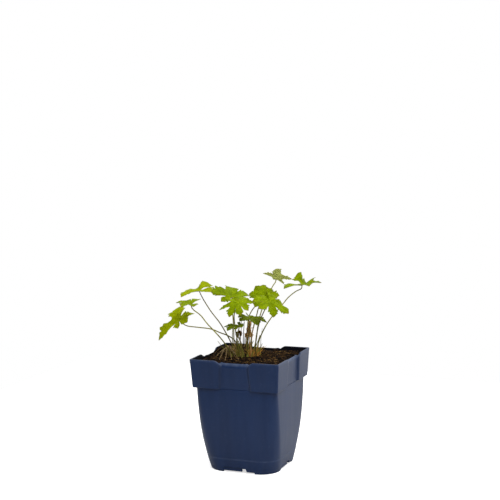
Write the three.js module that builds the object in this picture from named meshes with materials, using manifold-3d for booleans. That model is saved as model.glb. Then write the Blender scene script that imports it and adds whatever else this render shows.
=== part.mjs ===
import * as THREE from 'three';
import { mergeVertices } from 'three/addons/utils/BufferGeometryUtils.js';
import Module from 'manifold-3d';

// A young garden perennial in its square nursery pot. Millimetres, +Z up.
// The origin is on the surface that the pot stands on, at the middle of the pot.
// The pot's front side faces -Y and its right side faces +X.

const wasm = await Module();
wasm.setup();

// Pot
const potHeight = 109;
const rimHalf = 45;
const bandHeight = 27.4;
const bandFoot = potHeight - bandHeight;
const bandDraft = 1.75;
const bandChamfer = 0.9;
const wall = 1.4;
const bodyTopHalf = 41.1;
const bodyFootHalf = 34.9;
const bodyTopRadius = 5;
const bodyFootRadius = 19;
const bodyCurve = 2.7;
const radiusCurve = 1.1;
const cornerSteps = 4;
const bodyRings = 7;
const ringCrowding = 1.5;

// Recess in the middle of each side of the band
const recessTopHalf = 42.8;
const recessTopReach = 12.5;
const recessFootReach = 14.5;
const recessSlant = 2;
const dipOuterDepth = 5.5;
const dipInnerDepth = 1.7;
const dipFlat = 9;
const dipEnd = 20;
const dipSteps = 12;

// Underside
const floorUnder = 4.5;
const floorThickness = 1.6;
const footWall = 2.2;
const raisedEdge = 1.5;
const raisedEdgeHalf = 16;
const drainNotchWidth = 5;
const drainNotchHeight = 4.4;
const drainNotchOffset = 5.5;
const drainHoleRadius = 3;
const drainHoleSpacing = 19;
const drainHoleSides = 8;
const hubRadius = 7;
const hubSides = 16;

// Soil; the lumps are two crossed waves, given in radians per millimetre
const soilLevel = 105.4;
const soilMound = 1.4;
const soilMoundReach = 24;
const soilLump = 1.3;
const longWave = 0.37;
const shortWave = 0.43;
const crossWave = [0.19, -0.61];
const wavePhases = [1.3, 0.8];
const soilSteps = 7;

// Meshes: the gap between touching pieces, how far a cut runs past what it cuts, the flats that
// are merged and the points that count as one
const clearance = 0.3;
const overcut = 1;
const simplifyTo = 0.03;
const samePoint = 1e-3;

// Leaves
const bladeThickness = 0.62;
const petioleRadius = 0.54;
const petioleSides = 5;
const petioleStep = 8;
const petioleFootDrop = 9;
const junctionDrop = 3;
const junctionBack = 0.6;
const petioleTilt = 0.25;

const up = new THREE.Vector3(0, 0, 1);

// Repeatable random numbers between 0 and 1
function randomFrom(seed) {
  let state = seed;
  return () => {
    state = (state * 16807) % 2147483647;
    return state / 2147483647;
  };
}

function mix(a, b, t) {
  return a + (b - a) * t;
}

function smooth(t) {
  const u = Math.min(Math.max(t, 0), 1);
  return u * u * (3 - 2 * u);
}

// A little below the smaller of two lengths, without a kink where they cross
function softLeast(a, b) {
  const sharpness = 6;
  return (a ** -sharpness + b ** -sharpness) ** (-1 / sharpness);
}

// Closed mesh and solid helpers
function solidOf(geometry) {
  const bare = geometry.clone();
  bare.deleteAttribute('normal');
  bare.deleteAttribute('uv');
  const merged = mergeVertices(bare, samePoint / 100);
  const mesh = new wasm.Mesh({
    numProp: 3,
    vertProperties: new Float32Array(merged.attributes.position.array),
    triVerts: new Uint32Array(merged.index.array),
  });
  return new wasm.Manifold(mesh);
}

function geometryOf(solid) {
  const mesh = solid.getMesh();
  const geometry = new THREE.BufferGeometry();
  const positions = new Float32Array(mesh.vertProperties);
  geometry.setAttribute('position', new THREE.BufferAttribute(positions, 3));
  geometry.setIndex(new THREE.BufferAttribute(new Uint32Array(mesh.triVerts), 1));
  geometry.computeVertexNormals();
  return geometry;
}

function largestBody(solid) {
  const bodies = solid.simplify(simplifyTo).decompose();
  return bodies.reduce((best, body) => (body.volume() > best.volume() ? body : best));
}

function joined(solids) {
  return solids.reduce((sum, solid) => sum.add(solid));
}

// A closed solid through rings of points, each with the same number of points, counterclockwise
// about the way the rings advance
function loft(rings) {
  const count = rings[0].length;
  const positions = [];
  for (const ring of rings) {
    for (const point of ring) {
      positions.push(point.x, point.y, point.z);
    }
  }
  const centre = (ring) => ring.reduce((sum, p) => sum.add(p), new THREE.Vector3()).divideScalar(count);
  const first = centre(rings[0]);
  const last = centre(rings[rings.length - 1]);
  positions.push(first.x, first.y, first.z, last.x, last.y, last.z);
  const firstIndex = rings.length * count;
  const lastRing = (rings.length - 1) * count;
  const index = [];
  for (let i = 0; i < count; i++) {
    const next = (i + 1) % count;
    for (let r = 0; r < rings.length - 1; r++) {
      const a = r * count;
      const b = a + count;
      index.push(a + i, a + next, b + next, a + i, b + next, b + i);
    }
    index.push(firstIndex, next, i);
    index.push(firstIndex + 1, lastRing + i, lastRing + next);
  }
  const geometry = new THREE.BufferGeometry();
  geometry.setAttribute('position', new THREE.Float32BufferAttribute(positions, 3));
  geometry.setIndex(index);
  return geometry;
}

function postAt(radius, sides, bottom, top, x, y) {
  const post = new THREE.CylinderGeometry(radius, radius, top - bottom, sides);
  post.rotateX(Math.PI / 2);
  post.translate(x, y, (top + bottom) / 2);
  return solidOf(post);
}

// The same solid on each of the pot's four sides
function onFourSides(make) {
  const solids = [];
  for (let side = 0; side < 4; side++) {
    solids.push(solidOf(make().rotateZ((side * Math.PI) / 2)));
  }
  return joined(solids);
}

// Pot
function bodyHalfAt(z) {
  const below = 1 - z / bandFoot;
  return bodyTopHalf - (bodyTopHalf - bodyFootHalf) * Math.max(below, 0) ** bodyCurve;
}

function bodyRadiusAt(z) {
  const below = 1 - z / bandFoot;
  return mix(bodyTopRadius, bodyFootRadius, Math.max(below, 0) ** radiusCurve);
}

function bandHalfAt(z) {
  return rimHalf - (bandDraft * (potHeight - z)) / bandHeight;
}

function bodyRing(z, inset) {
  const half = bodyHalfAt(z) - inset;
  const radius = Math.max(bodyRadiusAt(z) - inset, 1);
  const points = [];
  for (let side = 0; side < 4; side++) {
    for (let step = 0; step <= cornerSteps; step++) {
      const angle = -Math.PI / 2 + ((side + step / cornerSteps) * Math.PI) / 2;
      const cornerAngle = -Math.PI / 4 + (side * Math.PI) / 2;
      const reach = (half - radius) * Math.SQRT2;
      points.push(new THREE.Vector3(
        Math.cos(cornerAngle) * reach + Math.cos(angle) * radius,
        Math.sin(cornerAngle) * reach + Math.sin(angle) * radius,
        z,
      ));
    }
  }
  return points;
}

// One ring of the band, with its four recesses; an inset ring is the inside of the wall
function bandRing(z, inset) {
  const height = (z - bandFoot) / bandHeight;
  const half = bandHalfAt(z) - inset;
  const recessHalf = mix(bodyTopHalf, recessTopHalf, height) - inset;
  const reach = mix(recessFootReach, recessTopReach, height) + inset;
  const corner = half - bandChamfer;
  const outline = [
    [-corner, half],
    [-(corner + reach + recessSlant) / 2, half],
    [-reach - recessSlant, half],
    [-reach, recessHalf],
    [-reach / 2, recessHalf],
    [0, recessHalf],
    [reach / 2, recessHalf],
    [reach, recessHalf],
    [reach + recessSlant, half],
    [(corner + reach + recessSlant) / 2, half],
    [corner, half],
  ];
  const points = [];
  for (let side = 0; side < 4; side++) {
    for (const [along, out] of outline) {
      points.push(new THREE.Vector3(along, -out, z).applyAxisAngle(up, (side * Math.PI) / 2));
    }
  }
  return points;
}

function bodyLoft(bottom, top, inset) {
  const rings = [];
  for (let i = 0; i <= bodyRings; i++) {
    const height = bottom + (top - bottom) * (i / bodyRings) ** ringCrowding;
    rings.push(bodyRing(height, inset));
  }
  return solidOf(loft(rings));
}

function bandLoft(bottom, top, inset) {
  return solidOf(loft([bandRing(bottom, inset), bandRing(top, inset)]));
}

// Cuts the soft dip out of the rim over a recess, deeper on the outside than on the inside
function rimDip() {
  const section = (out, depth) => {
    const points = [];
    for (let i = 0; i <= dipSteps; i++) {
      const x = mix(-dipEnd, dipEnd, i / dipSteps);
      const fall = 1 - smooth((Math.abs(x) - dipFlat) / (dipEnd - dipFlat));
      points.push(new THREE.Vector3(x, -out, potHeight + overcut / 20 - depth * fall));
    }
    points.push(new THREE.Vector3(dipEnd, -out, potHeight + overcut));
    points.push(new THREE.Vector3(-dipEnd, -out, potHeight + overcut));
    return points;
  };
  const innerFace = recessTopHalf - wall;
  return loft([
    section(innerFace - 2 * overcut, dipInnerDepth),
    section(innerFace, dipInnerDepth),
    section(recessTopHalf, dipOuterDepth),
    section(rimHalf + overcut, dipOuterDepth),
  ]);
}

function sideCut(width, depth, height, along, lowest) {
  const cut = new THREE.BoxGeometry(width, depth, height);
  cut.translate(along, -bodyFootHalf, lowest + height / 2);
  return cut;
}

function drainHoles() {
  const holes = [];
  for (let column = -1; column <= 1; column++) {
    for (let row = -1; row <= 1; row++) {
      if (column !== 0 || row !== 0) {
        const x = column * drainHoleSpacing;
        const y = row * drainHoleSpacing;
        const floorTop = floorUnder + floorThickness;
        holes.push(postAt(drainHoleRadius, drainHoleSides, floorUnder - overcut, floorTop + overcut, x, y));
      }
    }
  }
  return joined(holes);
}

function potSolid() {
  const cutDepth = bodyFootRadius / 2;
  const outside = bandLoft(bandFoot, potHeight, 0).add(bodyLoft(0, bandFoot + wall, 0));
  const hollow = bandLoft(bandFoot + wall, potHeight + overcut, wall)
    .add(bodyLoft(floorUnder + floorThickness, bandFoot + 3 * wall, wall));
  const hub = postAt(hubRadius, hubSides, -2 * overcut, potHeight, 0, 0);
  const underside = bodyLoft(-overcut, floorUnder, footWall).subtract(hub);
  const edges = onFourSides(() => (
    sideCut(2 * raisedEdgeHalf, cutDepth, raisedEdge + overcut, 0, -overcut)
  ));
  const notches = onFourSides(() => (
    sideCut(drainNotchWidth, cutDepth, drainNotchHeight + overcut, drainNotchOffset, -overcut)
  ));
  return outside.subtract(hollow)
    .subtract(onFourSides(rimDip))
    .subtract(underside)
    .subtract(edges)
    .subtract(notches)
    .subtract(drainHoles());
}

// Soil, a filling with a low mound and lumps on top
function soilHeightAt(x, y) {
  const mound = soilMound * Math.exp(-(x * x + y * y) / soilMoundReach ** 2);
  const square = Math.sin(x * shortWave + wavePhases[0]) * Math.cos(y * longWave);
  const slanted = Math.sin(x * crossWave[0] + y * crossWave[1] + wavePhases[1]);
  return soilLevel + mound + (soilLump * (square + slanted)) / 2;
}

function soilSolid() {
  const inset = wall + clearance;
  const edge = bandRing(soilLevel, inset);
  const rings = [bandRing(bandFoot + inset, inset)];
  for (let step = soilSteps; step >= 1; step--) {
    const scale = step / soilSteps;
    rings.push(edge.map((p) => (
      new THREE.Vector3(p.x * scale, p.y * scale, soilHeightAt(p.x * scale, p.y * scale))
    )));
  }
  const lowest = floorUnder + floorThickness + clearance;
  return solidOf(loft(rings)).add(bodyLoft(lowest, bandFoot + 2 * inset, inset));
}

// Stems; the overshoot lengthens both ends
function tube(points, radius, sides, steps, overshoot) {
  const last = points.length - 1;
  const route = points.map((point) => point.clone());
  route[0].sub(points[1]).setLength(overshoot).add(points[0]);
  route[last].sub(points[last - 1]).setLength(overshoot).add(points[last]);
  const section = [];
  for (let i = 0; i < sides; i++) {
    const angle = (i * 2 * Math.PI) / sides;
    section.push(new THREE.Vector2(Math.cos(angle) * radius, Math.sin(angle) * radius));
  }
  const path = new THREE.CatmullRomCurve3(route, false, 'centripetal');
  const shape = new THREE.Shape(section);
  return solidOf(new THREE.ExtrudeGeometry(shape, { steps, bevelEnabled: false, extrudePath: path }));
}

function pointsOf(rows) {
  return rows.map((row) => new THREE.Vector3(...row));
}

// Leaf blades: five or seven deeply cut lobes round the junction with the petiole
// Half the edge of one lobe, from its narrow foot to its tip, as parts of the lobe's length:
// how far along the rib, and how far out from it
const lobeEdge = [
  [0.42, 0.26],
  [0.56, 0.4],
  [0.62, 0.33],
  [0.75, 0.42],
  [0.785, 0.3],
  [0.74, 0.2],
  [0.86, 0.23],
  [0.9, 0.12],
];
const ribStations = [0.3, 0.55, 0.78];
// Where the cuts between lobes end, as parts of the shorter lobe's length
const lobeCutDepth = 0.5;
const openCutDepth = 0.14;
const cutMargin = 0.05;
const lobeGapMargin = 0.044;
const openSideAngle = 0.7;
const lobeFold = 0.2;
const lobeArch = 0.07;
const ribBow = 0.1;

// Each row is one leaf: the junction, where blade and petiole meet, the tips of its lobes in their
// order round the blade, places along its petiole, and how deep its cuts go where that is unusual.
const leaves = [
  {
    name: 'a', junction: [-57.5, -39, 144.5],
    tips: [[-49, -21.5, 149], [-68, -17, 153.5], [-77, -44, 125], [-53.5, -50, 139],
      [-43, -51, 145.5]],
    cut: 0.36,
    petiole: [[-9, -8, 109], [-12, -10, 122], [-17.5, -13.5, 127.5], [-24, -18, 131], [-31, -23, 135],
      [-44, -30, 137.5], [-51.5, -34, 139]],
  },
  {
    name: 'b', junction: [-43.5, -41, 161],
    tips: [[-43, -27.5, 164], [-53, -32, 163], [-58.5, -43, 162], [-48, -54.5, 160.5],
      [-36, -51.5, 160.5]],
    petiole: [[-15, -13.5, 109], [-19.5, -19.5, 122], [-26.5, -27.5, 134.5], [-31, -32, 141.5],
      [-36.5, -36, 150.5], [-41.5, -39.5, 155.5]],
  },
  {
    name: 'c', junction: [-55, 4, 167],
    tips: [[-54.5, 20, 175], [-66, 17, 166], [-70, 2.5, 166.5], [-66.5, -14.5, 163],
      [-38, -6.5, 168]],
    petiole: [[-14, -3.5, 108], [-19.5, -2.5, 119], [-24.5, -1, 126.5], [-31.5, -0.5, 137],
      [-41, 0, 148], [-48.5, 1, 158]],
  },
  {
    name: 'd', junction: [-25, 16, 160.5],
    tips: [[-7.5, 11, 155], [-16, 34, 161.5], [-32, 33.5, 167.5], [-44, 4, 167],
      [-32, 3.5, 157.5]],
    petiole: [[-16.5, -1, 108.5], [-18, 1.5, 119.5], [-20, 6, 133.5], [-23, 11, 148.5]],
  },
  {
    name: 'e', junction: [-1, -27.5, 162.5],
    tips: [[-12.5, -18, 164], [-19, -31.5, 155], [-5.5, -39.5, 150], [6.5, -40.5, 152.5],
      [11.5, -32.5, 156], [11.5, -18.5, 161.5], [2.5, -13, 165]],
    petiole: [[-6.5, -11.5, 108], [-8.5, -12.5, 122.5], [-9.5, -15.5, 137], [-7, -22.5, 151.5]],
  },
  {
    name: 'f', junction: [8, 17, 161.5],
    tips: [[24, 18, 163.5], [11, 28.5, 169], [2.5, 29.5, 172], [-8, 17.5, 164],
      [2.5, 6, 153]],
    petiole: [[-1.5, 2.5, 109.5], [-1, 6, 125.5], [2, 11.5, 143.5], [4, 14.5, 153]],
  },
  {
    name: 'g', junction: [28, -20, 164],
    tips: [[17, -12, 167.5], [14, -29, 165], [23, -35, 158.5], [35, -29, 150],
      [46.5, -19, 152.5], [37, -9.5, 159.5], [28.5, -7.5, 167.5]],
    petiole: [[7.5, -5.5, 107.5], [9, -9, 122.5], [13, -11, 139], [19, -15.5, 150.5]],
  },
  {
    name: 'h', junction: [10.5, 45, 176],
    tips: [[5.5, 51, 174.5], [1, 33, 183], [14, 36, 187.5], [28.5, 42.5, 176.5],
      [15.5, 53, 170]],
    petiole: [[-0.5, 7.5, 107.5], [1, 12, 119], [0.5, 19.5, 133.5], [1, 28.5, 146.5], [5, 37.5, 160],
      [7.5, 43, 169]],
  },
  {
    name: 'i', junction: [44.5, 25.5, 173.5],
    tips: [[32, 7.5, 172], [57, 10, 175], [64.5, 25.5, 176.5], [48, 42, 173],
      [36, 35.5, 183]],
    petiole: [[6, 1.5, 107.5], [7, 3, 119], [12, 6, 132.5], [18.5, 9.5, 143.5], [27, 15, 154.5],
      [33, 18.5, 162.5], [39.5, 22, 168]],
  },
  {
    name: 'j', junction: [4, -10.5, 145.5],
    tips: [[-5, -19.5, 147], [-0.5, -26, 144.5], [15, -21, 140.5], [19, -4.5, 140.5],
      [-1, -2, 146]],
    petiole: [[-1, -7, 109.5], [1.5, -10, 124], [4, -12, 136]],
  },
  {
    name: 'k', junction: [-2.5, -24.5, 140],
    tips: [[-17.5, -24.5, 137.5], [-9, -36.5, 136.5], [-1.5, -34, 137.5], [4, -31, 139.5],
      [-2, -16.5, 140]],
    petiole: [[-3.5, -14.5, 108.5], [-3, -18, 122], [-4, -23, 132]],
  },
  {
    name: 'l', junction: [-3.5, 48, 157],
    tips: [[6, 45.5, 156], [5.5, 57, 160.5], [-5, 57, 166.5], [-14, 50.5, 167.5],
      [-13, 49, 153.5]],
    petiole: [[-6.5, 5, 109], [-9.5, 15.5, 125.5], [-12, 27.5, 140.5], [-9, 40, 150]],
  },
];

// Dead, shrivelled leaves that still stand among the petioles
const deadLeaves = [
  {
    name: 'dead_leaf_tan', junction: [1.5, -3, 134], colour: 0x9a5f24,
    tips: [[0, 1, 130], [-2, -4.5, 127], [2.5, -6.5, 129]],
    petiole: [[0.5, -0.5, 109.5], [1.5, -1, 117], [2, -1.5, 125]],
  },
  {
    name: 'dead_leaf_dark', junction: [-9, -7, 132], colour: 0x4a2c14,
    tips: [[-8, -3, 128.5], [-11.5, -5, 126], [-12.5, -9, 128.5]],
    petiole: [[-6, -3.5, 109.5], [-7, -5, 117.5], [-8.5, -6.5, 124.5]],
  },
];

// Tufts of old sheaths and stalk bases round the feet of the petioles
const tufts = [
  {
    name: 'crown_straw', centre: [-19, -8.5], coreRadius: 4.2, coreTop: 115.5, strands: 13, reach: 14,
    drooping: true, colour: 0x7d6a38, seed: 11,
  },
  {
    name: 'crown_olive', centre: [-9.5, -5], coreRadius: 3.6, coreTop: 114, strands: 8, reach: 7,
    drooping: false, colour: 0x57512a, seed: 23,
  },
  {
    name: 'crown_rust', centre: [5, -1.5], coreRadius: 5, coreTop: 112.5, strands: 13, reach: 11,
    drooping: false, colour: 0x8a4f18, seed: 37,
  },
];
const tuftFloor = 99;
const strandRadius = 0.65;
const strandSides = 4;
const strandSteps = 4;
const coreSides = 9;
const coreTopShare = 0.45;

// The blade's own frame: its normal is the mean one of its lobes, and the middle lobe points along X
function leafFrame(leaf) {
  const junction = new THREE.Vector3(...leaf.junction);
  const ribs = pointsOf(leaf.tips).map((tip) => tip.sub(junction));
  const normal = new THREE.Vector3();
  for (let k = 0; k + 1 < ribs.length; k++) {
    normal.add(new THREE.Vector3().crossVectors(ribs[k], ribs[k + 1]));
  }
  normal.normalize();
  const along = ribs[(ribs.length - 1) / 2].clone().projectOnPlane(normal).normalize();
  const across = new THREE.Vector3().crossVectors(normal, along);
  return new THREE.Matrix4().makeBasis(along, across, normal).setPosition(junction);
}

// Each lobe's angle from the middle one, its length, and its lift out of the blade's plane
function lobesOf(leaf) {
  const toBlade = leafFrame(leaf).invert();
  return pointsOf(leaf.tips).map((tip) => {
    const rib = tip.applyMatrix4(toBlade);
    const length = rib.length();
    return { angle: Math.atan2(rib.y, rib.x), length, lift: Math.asin(rib.z / length) };
  });
}

// The lift at an angle round the blade goes smoothly from one lobe's lift to the next
function liftAt(lobes, angle) {
  const last = lobes.length - 1;
  if (angle <= lobes[0].angle) {
    return lobes[0].lift;
  }
  for (let k = 0; k < last; k++) {
    if (angle <= lobes[k + 1].angle) {
      const t = (angle - lobes[k].angle) / (lobes[k + 1].angle - lobes[k].angle);
      return mix(lobes[k].lift, lobes[k + 1].lift, smooth(t));
    }
  }
  return lobes[last].lift;
}

// One half of a lobe: the places round it, from the junction up the rib and back along the edge
function halfLobe(lobes, k, side, cut) {
  const lobe = lobes[k];
  const neighbour = lobes[k + side];
  const gap = neighbour ? Math.abs(neighbour.angle - lobe.angle) / 2 : openSideAngle;
  const widestSlope = Math.tan(gap - lobeGapMargin);
  const cutEnd = neighbour ? cut * Math.min(1, neighbour.length / lobe.length) : openCutDepth;
  const place = (along, out) => {
    const turn = Math.atan2(out, along);
    const distance = Math.hypot(along, out) * lobe.length;
    return { along, out, turn, distance, angle: lobe.angle + side * turn, length: lobe.length };
  };
  const rib = [0, ...ribStations, 1].map((along) => place(along, 0));
  const edge = lobeEdge
    .filter(([along]) => along > cutEnd + cutMargin)
    .map(([along, out]) => place(along, softLeast(out, along * widestSlope)))
    .reverse();
  const sinus = {
    along: 0,
    out: 0,
    turn: gap,
    distance: cutEnd * lobe.length,
    angle: lobe.angle + side * gap,
    length: lobe.length,
  };
  return [...rib, ...edge, sinus];
}

// Bends a flat place on the blade to where it is in space
function bentPoint(lobes, place) {
  const lift = liftAt(lobes, place.angle);
  const rise = place.length * (lobeFold * place.out + lobeArch * 4 * place.along * (1 - place.along));
  return new THREE.Vector3(
    place.distance * Math.cos(lift) * Math.cos(place.angle),
    place.distance * Math.cos(lift) * Math.sin(place.angle),
    place.distance * Math.sin(lift) + (place.along > 0 ? rise : 0),
  );
}

// The blade's middle surface, split into triangles that follow the ribs
function bladeSurface(leaf) {
  const lobes = lobesOf(leaf);
  const positions = [];
  for (let k = 0; k < lobes.length; k++) {
    for (const side of [-1, 1]) {
      const ring = halfLobe(lobes, k, side, leaf.cut ?? lobeCutDepth);
      const flat = ring.map((p) => new THREE.Vector2(
        p.distance * Math.cos(p.turn),
        p.distance * Math.sin(p.turn) - (p.out === 0 ? ribBow * p.along * (1 - p.along) : 0),
      ));
      const bent = ring.map((p) => bentPoint(lobes, p));
      for (const corners of THREE.ShapeUtils.triangulateShape(flat, [])) {
        const [a, b, c] = corners.map((corner) => flat[corner]);
        const turn = (b.x - a.x) * (c.y - a.y) - (b.y - a.y) * (c.x - a.x);
        const order = turn * side > 0 ? corners : [...corners].reverse();
        for (const corner of order) {
          positions.push(bent[corner].x, bent[corner].y, bent[corner].z);
        }
      }
    }
  }
  const surface = new THREE.BufferGeometry();
  surface.setAttribute('position', new THREE.Float32BufferAttribute(positions, 3));
  return mergeVertices(surface, samePoint);
}

// Gives a surface its thickness: the same triangles on both faces and a wall round the edge
function thickened(surface, thickness) {
  surface.computeVertexNormals();
  const place = surface.attributes.position;
  const normal = surface.attributes.normal;
  const count = place.count;
  const positions = [];
  for (const side of [1, -1]) {
    for (let i = 0; i < count; i++) {
      positions.push(
        place.getX(i) + (side * normal.getX(i) * thickness) / 2,
        place.getY(i) + (side * normal.getY(i) * thickness) / 2,
        place.getZ(i) + (side * normal.getZ(i) * thickness) / 2,
      );
    }
  }
  const index = [];
  const edges = new Map();
  const faces = surface.index.array;
  for (let f = 0; f < faces.length; f += 3) {
    const corners = [faces[f], faces[f + 1], faces[f + 2]];
    index.push(...corners);
    index.push(corners[0] + count, corners[2] + count, corners[1] + count);
    for (let e = 0; e < 3; e++) {
      const from = corners[e];
      const to = corners[(e + 1) % 3];
      if (!edges.delete(`${to},${from}`)) {
        edges.set(`${from},${to}`, [from, to]);
      }
    }
  }
  for (const [from, to] of edges.values()) {
    index.push(to, from, from + count, to, from + count, to + count);
  }
  const geometry = new THREE.BufferGeometry();
  geometry.setAttribute('position', new THREE.Float32BufferAttribute(positions, 3));
  geometry.setIndex(index);
  return geometry;
}

function bladeSolid(leaf) {
  const blade = thickened(bladeSurface(leaf), bladeThickness);
  blade.applyMatrix4(leafFrame(leaf));
  return solidOf(blade);
}

// How far the petiole ends below the junction: further where the lobes drop steeply round it
function seatBelow(leaf) {
  const steepest = Math.max(0, ...lobesOf(leaf).map((lobe) => -lobe.lift));
  return bladeThickness / 2 + clearance + petioleTilt + petioleRadius * Math.tan(steepest);
}

// The petiole from below the soil to just under the blade
function petiolePath(leaf, endGap) {
  const frame = leafFrame(leaf);
  const foot = new THREE.Vector3(...leaf.petiole[0]);
  foot.z -= petioleFootDrop;
  const bend = new THREE.Vector3(-junctionBack, 0, -junctionDrop).applyMatrix4(frame);
  const end = new THREE.Vector3(0, 0, -endGap).applyMatrix4(frame);
  return [foot, ...pointsOf(leaf.petiole), bend, end];
}

function petioleSolid(leaf, growth, endGap) {
  const path = petiolePath(leaf, endGap);
  const length = new THREE.CatmullRomCurve3(path).getLength();
  return tube(path, petioleRadius + growth, petioleSides, Math.ceil(length / petioleStep), growth);
}

// One tuft: a core that stands in the soil and bent strands rooted in it
function tuftStrands(tuft, growth) {
  const random = randomFrom(tuft.seed);
  const strands = [];
  for (let i = 0; i < tuft.strands; i++) {
    const angle = ((i + random() / 2) * 2 * Math.PI) / tuft.strands;
    const reach = tuft.reach * mix(0.65, 1, random());
    const rise = random();
    const at = (radius, z) => new THREE.Vector3(
      tuft.centre[0] + Math.cos(angle) * radius,
      tuft.centre[1] + Math.sin(angle) * radius,
      z,
    );
    const points = tuft.drooping
      ? [
        at(0, tuft.coreTop - 2 * strandRadius),
        at(2 * strandRadius, tuft.coreTop + 2 * strandRadius * rise),
        at(reach / 2, tuft.coreTop - 3 * strandRadius),
        at(reach, soilLevel + 2 * strandRadius),
      ]
      : [
        at(2 * strandRadius, soilLevel),
        at(reach / 2, tuft.coreTop - 3 * strandRadius),
        at(reach, tuft.coreTop + 2 * strandRadius + tuft.reach * rise / 2),
      ];
    const radius = strandRadius * mix(0.8, 1.2, random()) + growth;
    strands.push(tube(points, radius, strandSides, strandSteps, growth));
  }
  return strands;
}

function tuftSolid(tuft, growth) {
  const core = new THREE.CylinderGeometry(
    tuft.coreRadius * coreTopShare + growth,
    tuft.coreRadius + growth,
    tuft.coreTop - tuftFloor + 2 * growth,
    coreSides,
  );
  core.rotateX(Math.PI / 2);
  core.translate(tuft.centre[0], tuft.centre[1], (tuft.coreTop + tuftFloor) / 2);
  return joined([solidOf(core), ...tuftStrands(tuft, growth)]);
}

function partMesh(name, solid, colour, roughness) {
  const material = new THREE.MeshStandardMaterial({ color: colour, roughness, metalness: 0 });
  const mesh = new THREE.Mesh(geometryOf(solid), material);
  mesh.name = name;
  return mesh;
}

// Puts the plant together: whatever stands in the tufts and the soil gets a plain hole there
const potted = new THREE.Group();
const stemHoles = joined([
  ...leaves.map((leaf) => petioleSolid(leaf, clearance, seatBelow(leaf))),
  ...deadLeaves.map((leaf) => petioleSolid(leaf, clearance, 0)),
]);

potted.add(partMesh('pot', potSolid(), 0x20324f, 0.45));

let ground = soilSolid().subtract(stemHoles);
let taken = stemHoles;
for (const tuft of tufts) {
  potted.add(partMesh(tuft.name, largestBody(tuftSolid(tuft, 0).subtract(taken)), tuft.colour, 0.85));
  const grown = tuftSolid(tuft, clearance);
  taken = taken.add(grown);
  ground = ground.subtract(grown);
}
potted.add(partMesh('soil', largestBody(ground), 0x241a14, 0.95));

for (const leaf of leaves) {
  potted.add(partMesh(`blade_${leaf.name}`, bladeSolid(leaf), 0x86a512, 0.55));
  potted.add(partMesh(`petiole_${leaf.name}`, petioleSolid(leaf, 0, seatBelow(leaf)), 0x8a8448, 0.6));
}

for (const leaf of deadLeaves) {
  const dead = bladeSolid(leaf).add(petioleSolid(leaf, 0, 0));
  potted.add(partMesh(leaf.name, largestBody(dead), leaf.colour, 0.85));
}

export default potted;
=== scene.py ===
import math
import random
from collections import namedtuple

import bmesh
import bpy
import numpy as np
from mathutils import Matrix, Vector, noise
from mathutils.geometry import delaunay_2d_cdt


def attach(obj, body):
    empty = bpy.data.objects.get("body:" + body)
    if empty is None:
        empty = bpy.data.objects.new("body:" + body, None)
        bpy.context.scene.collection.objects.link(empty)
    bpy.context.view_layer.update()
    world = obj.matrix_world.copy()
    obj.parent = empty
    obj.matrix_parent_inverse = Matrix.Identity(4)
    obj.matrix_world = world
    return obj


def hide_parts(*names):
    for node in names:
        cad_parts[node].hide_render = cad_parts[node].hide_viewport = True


# A young garden perennial in its square nursery pot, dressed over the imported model.
# Lengths are in millimetres and are turned to metres where a mesh is made. +Z is up, the pot's
# front side faces -Y and its right side faces +X.
MM = 0.001
MERGE_REACH = 0.002
BODY = "root"

# Camera
CAMERA_PLACE = (406.69, -1019.29, 325.29)
CAMERA_FORWARD = (-0.3678, 0.9240, -0.1049)
CAMERA_RIGHT = (0.9296, 0.3682, -0.0159)
CAMERA_LENS = 82.8
CAMERA_SENSOR = 36.0
CAMERA_NEAR = 10.0

# Studio: a white sheet under the pot, and surroundings that are brightest behind it on the right
FLOOR_HALF = 420.0
FLOOR_COLOUR = (0.7, 0.7, 0.7, 1.0)
FLOOR_GLOW = (0.62, 0.62, 0.62, 1.0)
BRIGHT_DIRECTION = (0.5, 0.84, 0.2)
DIM_LEVEL = 0.1
BRIGHT_LEVEL = 1.55
DIM_UNDER = 0.1
BRIGHT_OVER = 0.95
# Each soft light is its place, its size and its power
LIGHTS = {
    "key": ((700.0, -800.0, 1300.0), 900.0, 22.0),
    "fill": ((-900.0, -500.0, 700.0), 900.0, 5.0),
    "top": ((-100.0, 250.0, 1500.0), 1300.0, 14.0),
}

# Pot
POT_HEIGHT = 109.0
RIM_HALF = 45.0
BAND_HEIGHT = 27.4
BAND_FOOT = POT_HEIGHT - BAND_HEIGHT
BAND_DRAFT = 1.75
BAND_CORNER = 1.3
WALL = 1.4
BODY_TOP_HALF = 41.1
BODY_FOOT_HALF = 34.9
BODY_TOP_RADIUS = 5.0
BODY_FOOT_RADIUS = 19.0
BODY_CURVE = 2.7
RADIUS_CURVE = 1.1
LEAST_BODY_RADIUS = 1.0
LEAST_BAND_RADIUS = 0.3
BODY_ROWS = 30
ROW_CROWDING = 1.2
BAND_ROWS = 12
INNER_ROWS = 8
FLOOR_ROWS = 4
CORNER_STEPS = 10
EDGE_STEPS = 5
EDGE_FILL = 10
SOFT_EDGE = 0.35
INNER_TURN = 0.35
POT_SHARP_ANGLE = 32.0
# Painted shade on the slanted shoulders of the recesses: its half width, and how dark it gets
PAINTED_SHADE_HALF = 1.1
PAINTED_SHADE_STRENGTH = 0.4
MOULD_LINE = 13.2
MOULD_STEP = 0.16
MOULD_FADE = 30.0
MOULD_CLEAR = 1.0
# Where the pot is paled, partly worn and partly a painted highlight: near the mould line, and down from the
# top of the rim
MOULD_LINE_REACH = 0.5
MOULD_LINE_WEAR_AND_HIGHLIGHT = 0.2
RIM_WEAR_AND_HIGHLIGHT_DEPTH = 1.1
RIM_WEAR_AND_HIGHLIGHT_LEAST = 0.3

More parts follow.
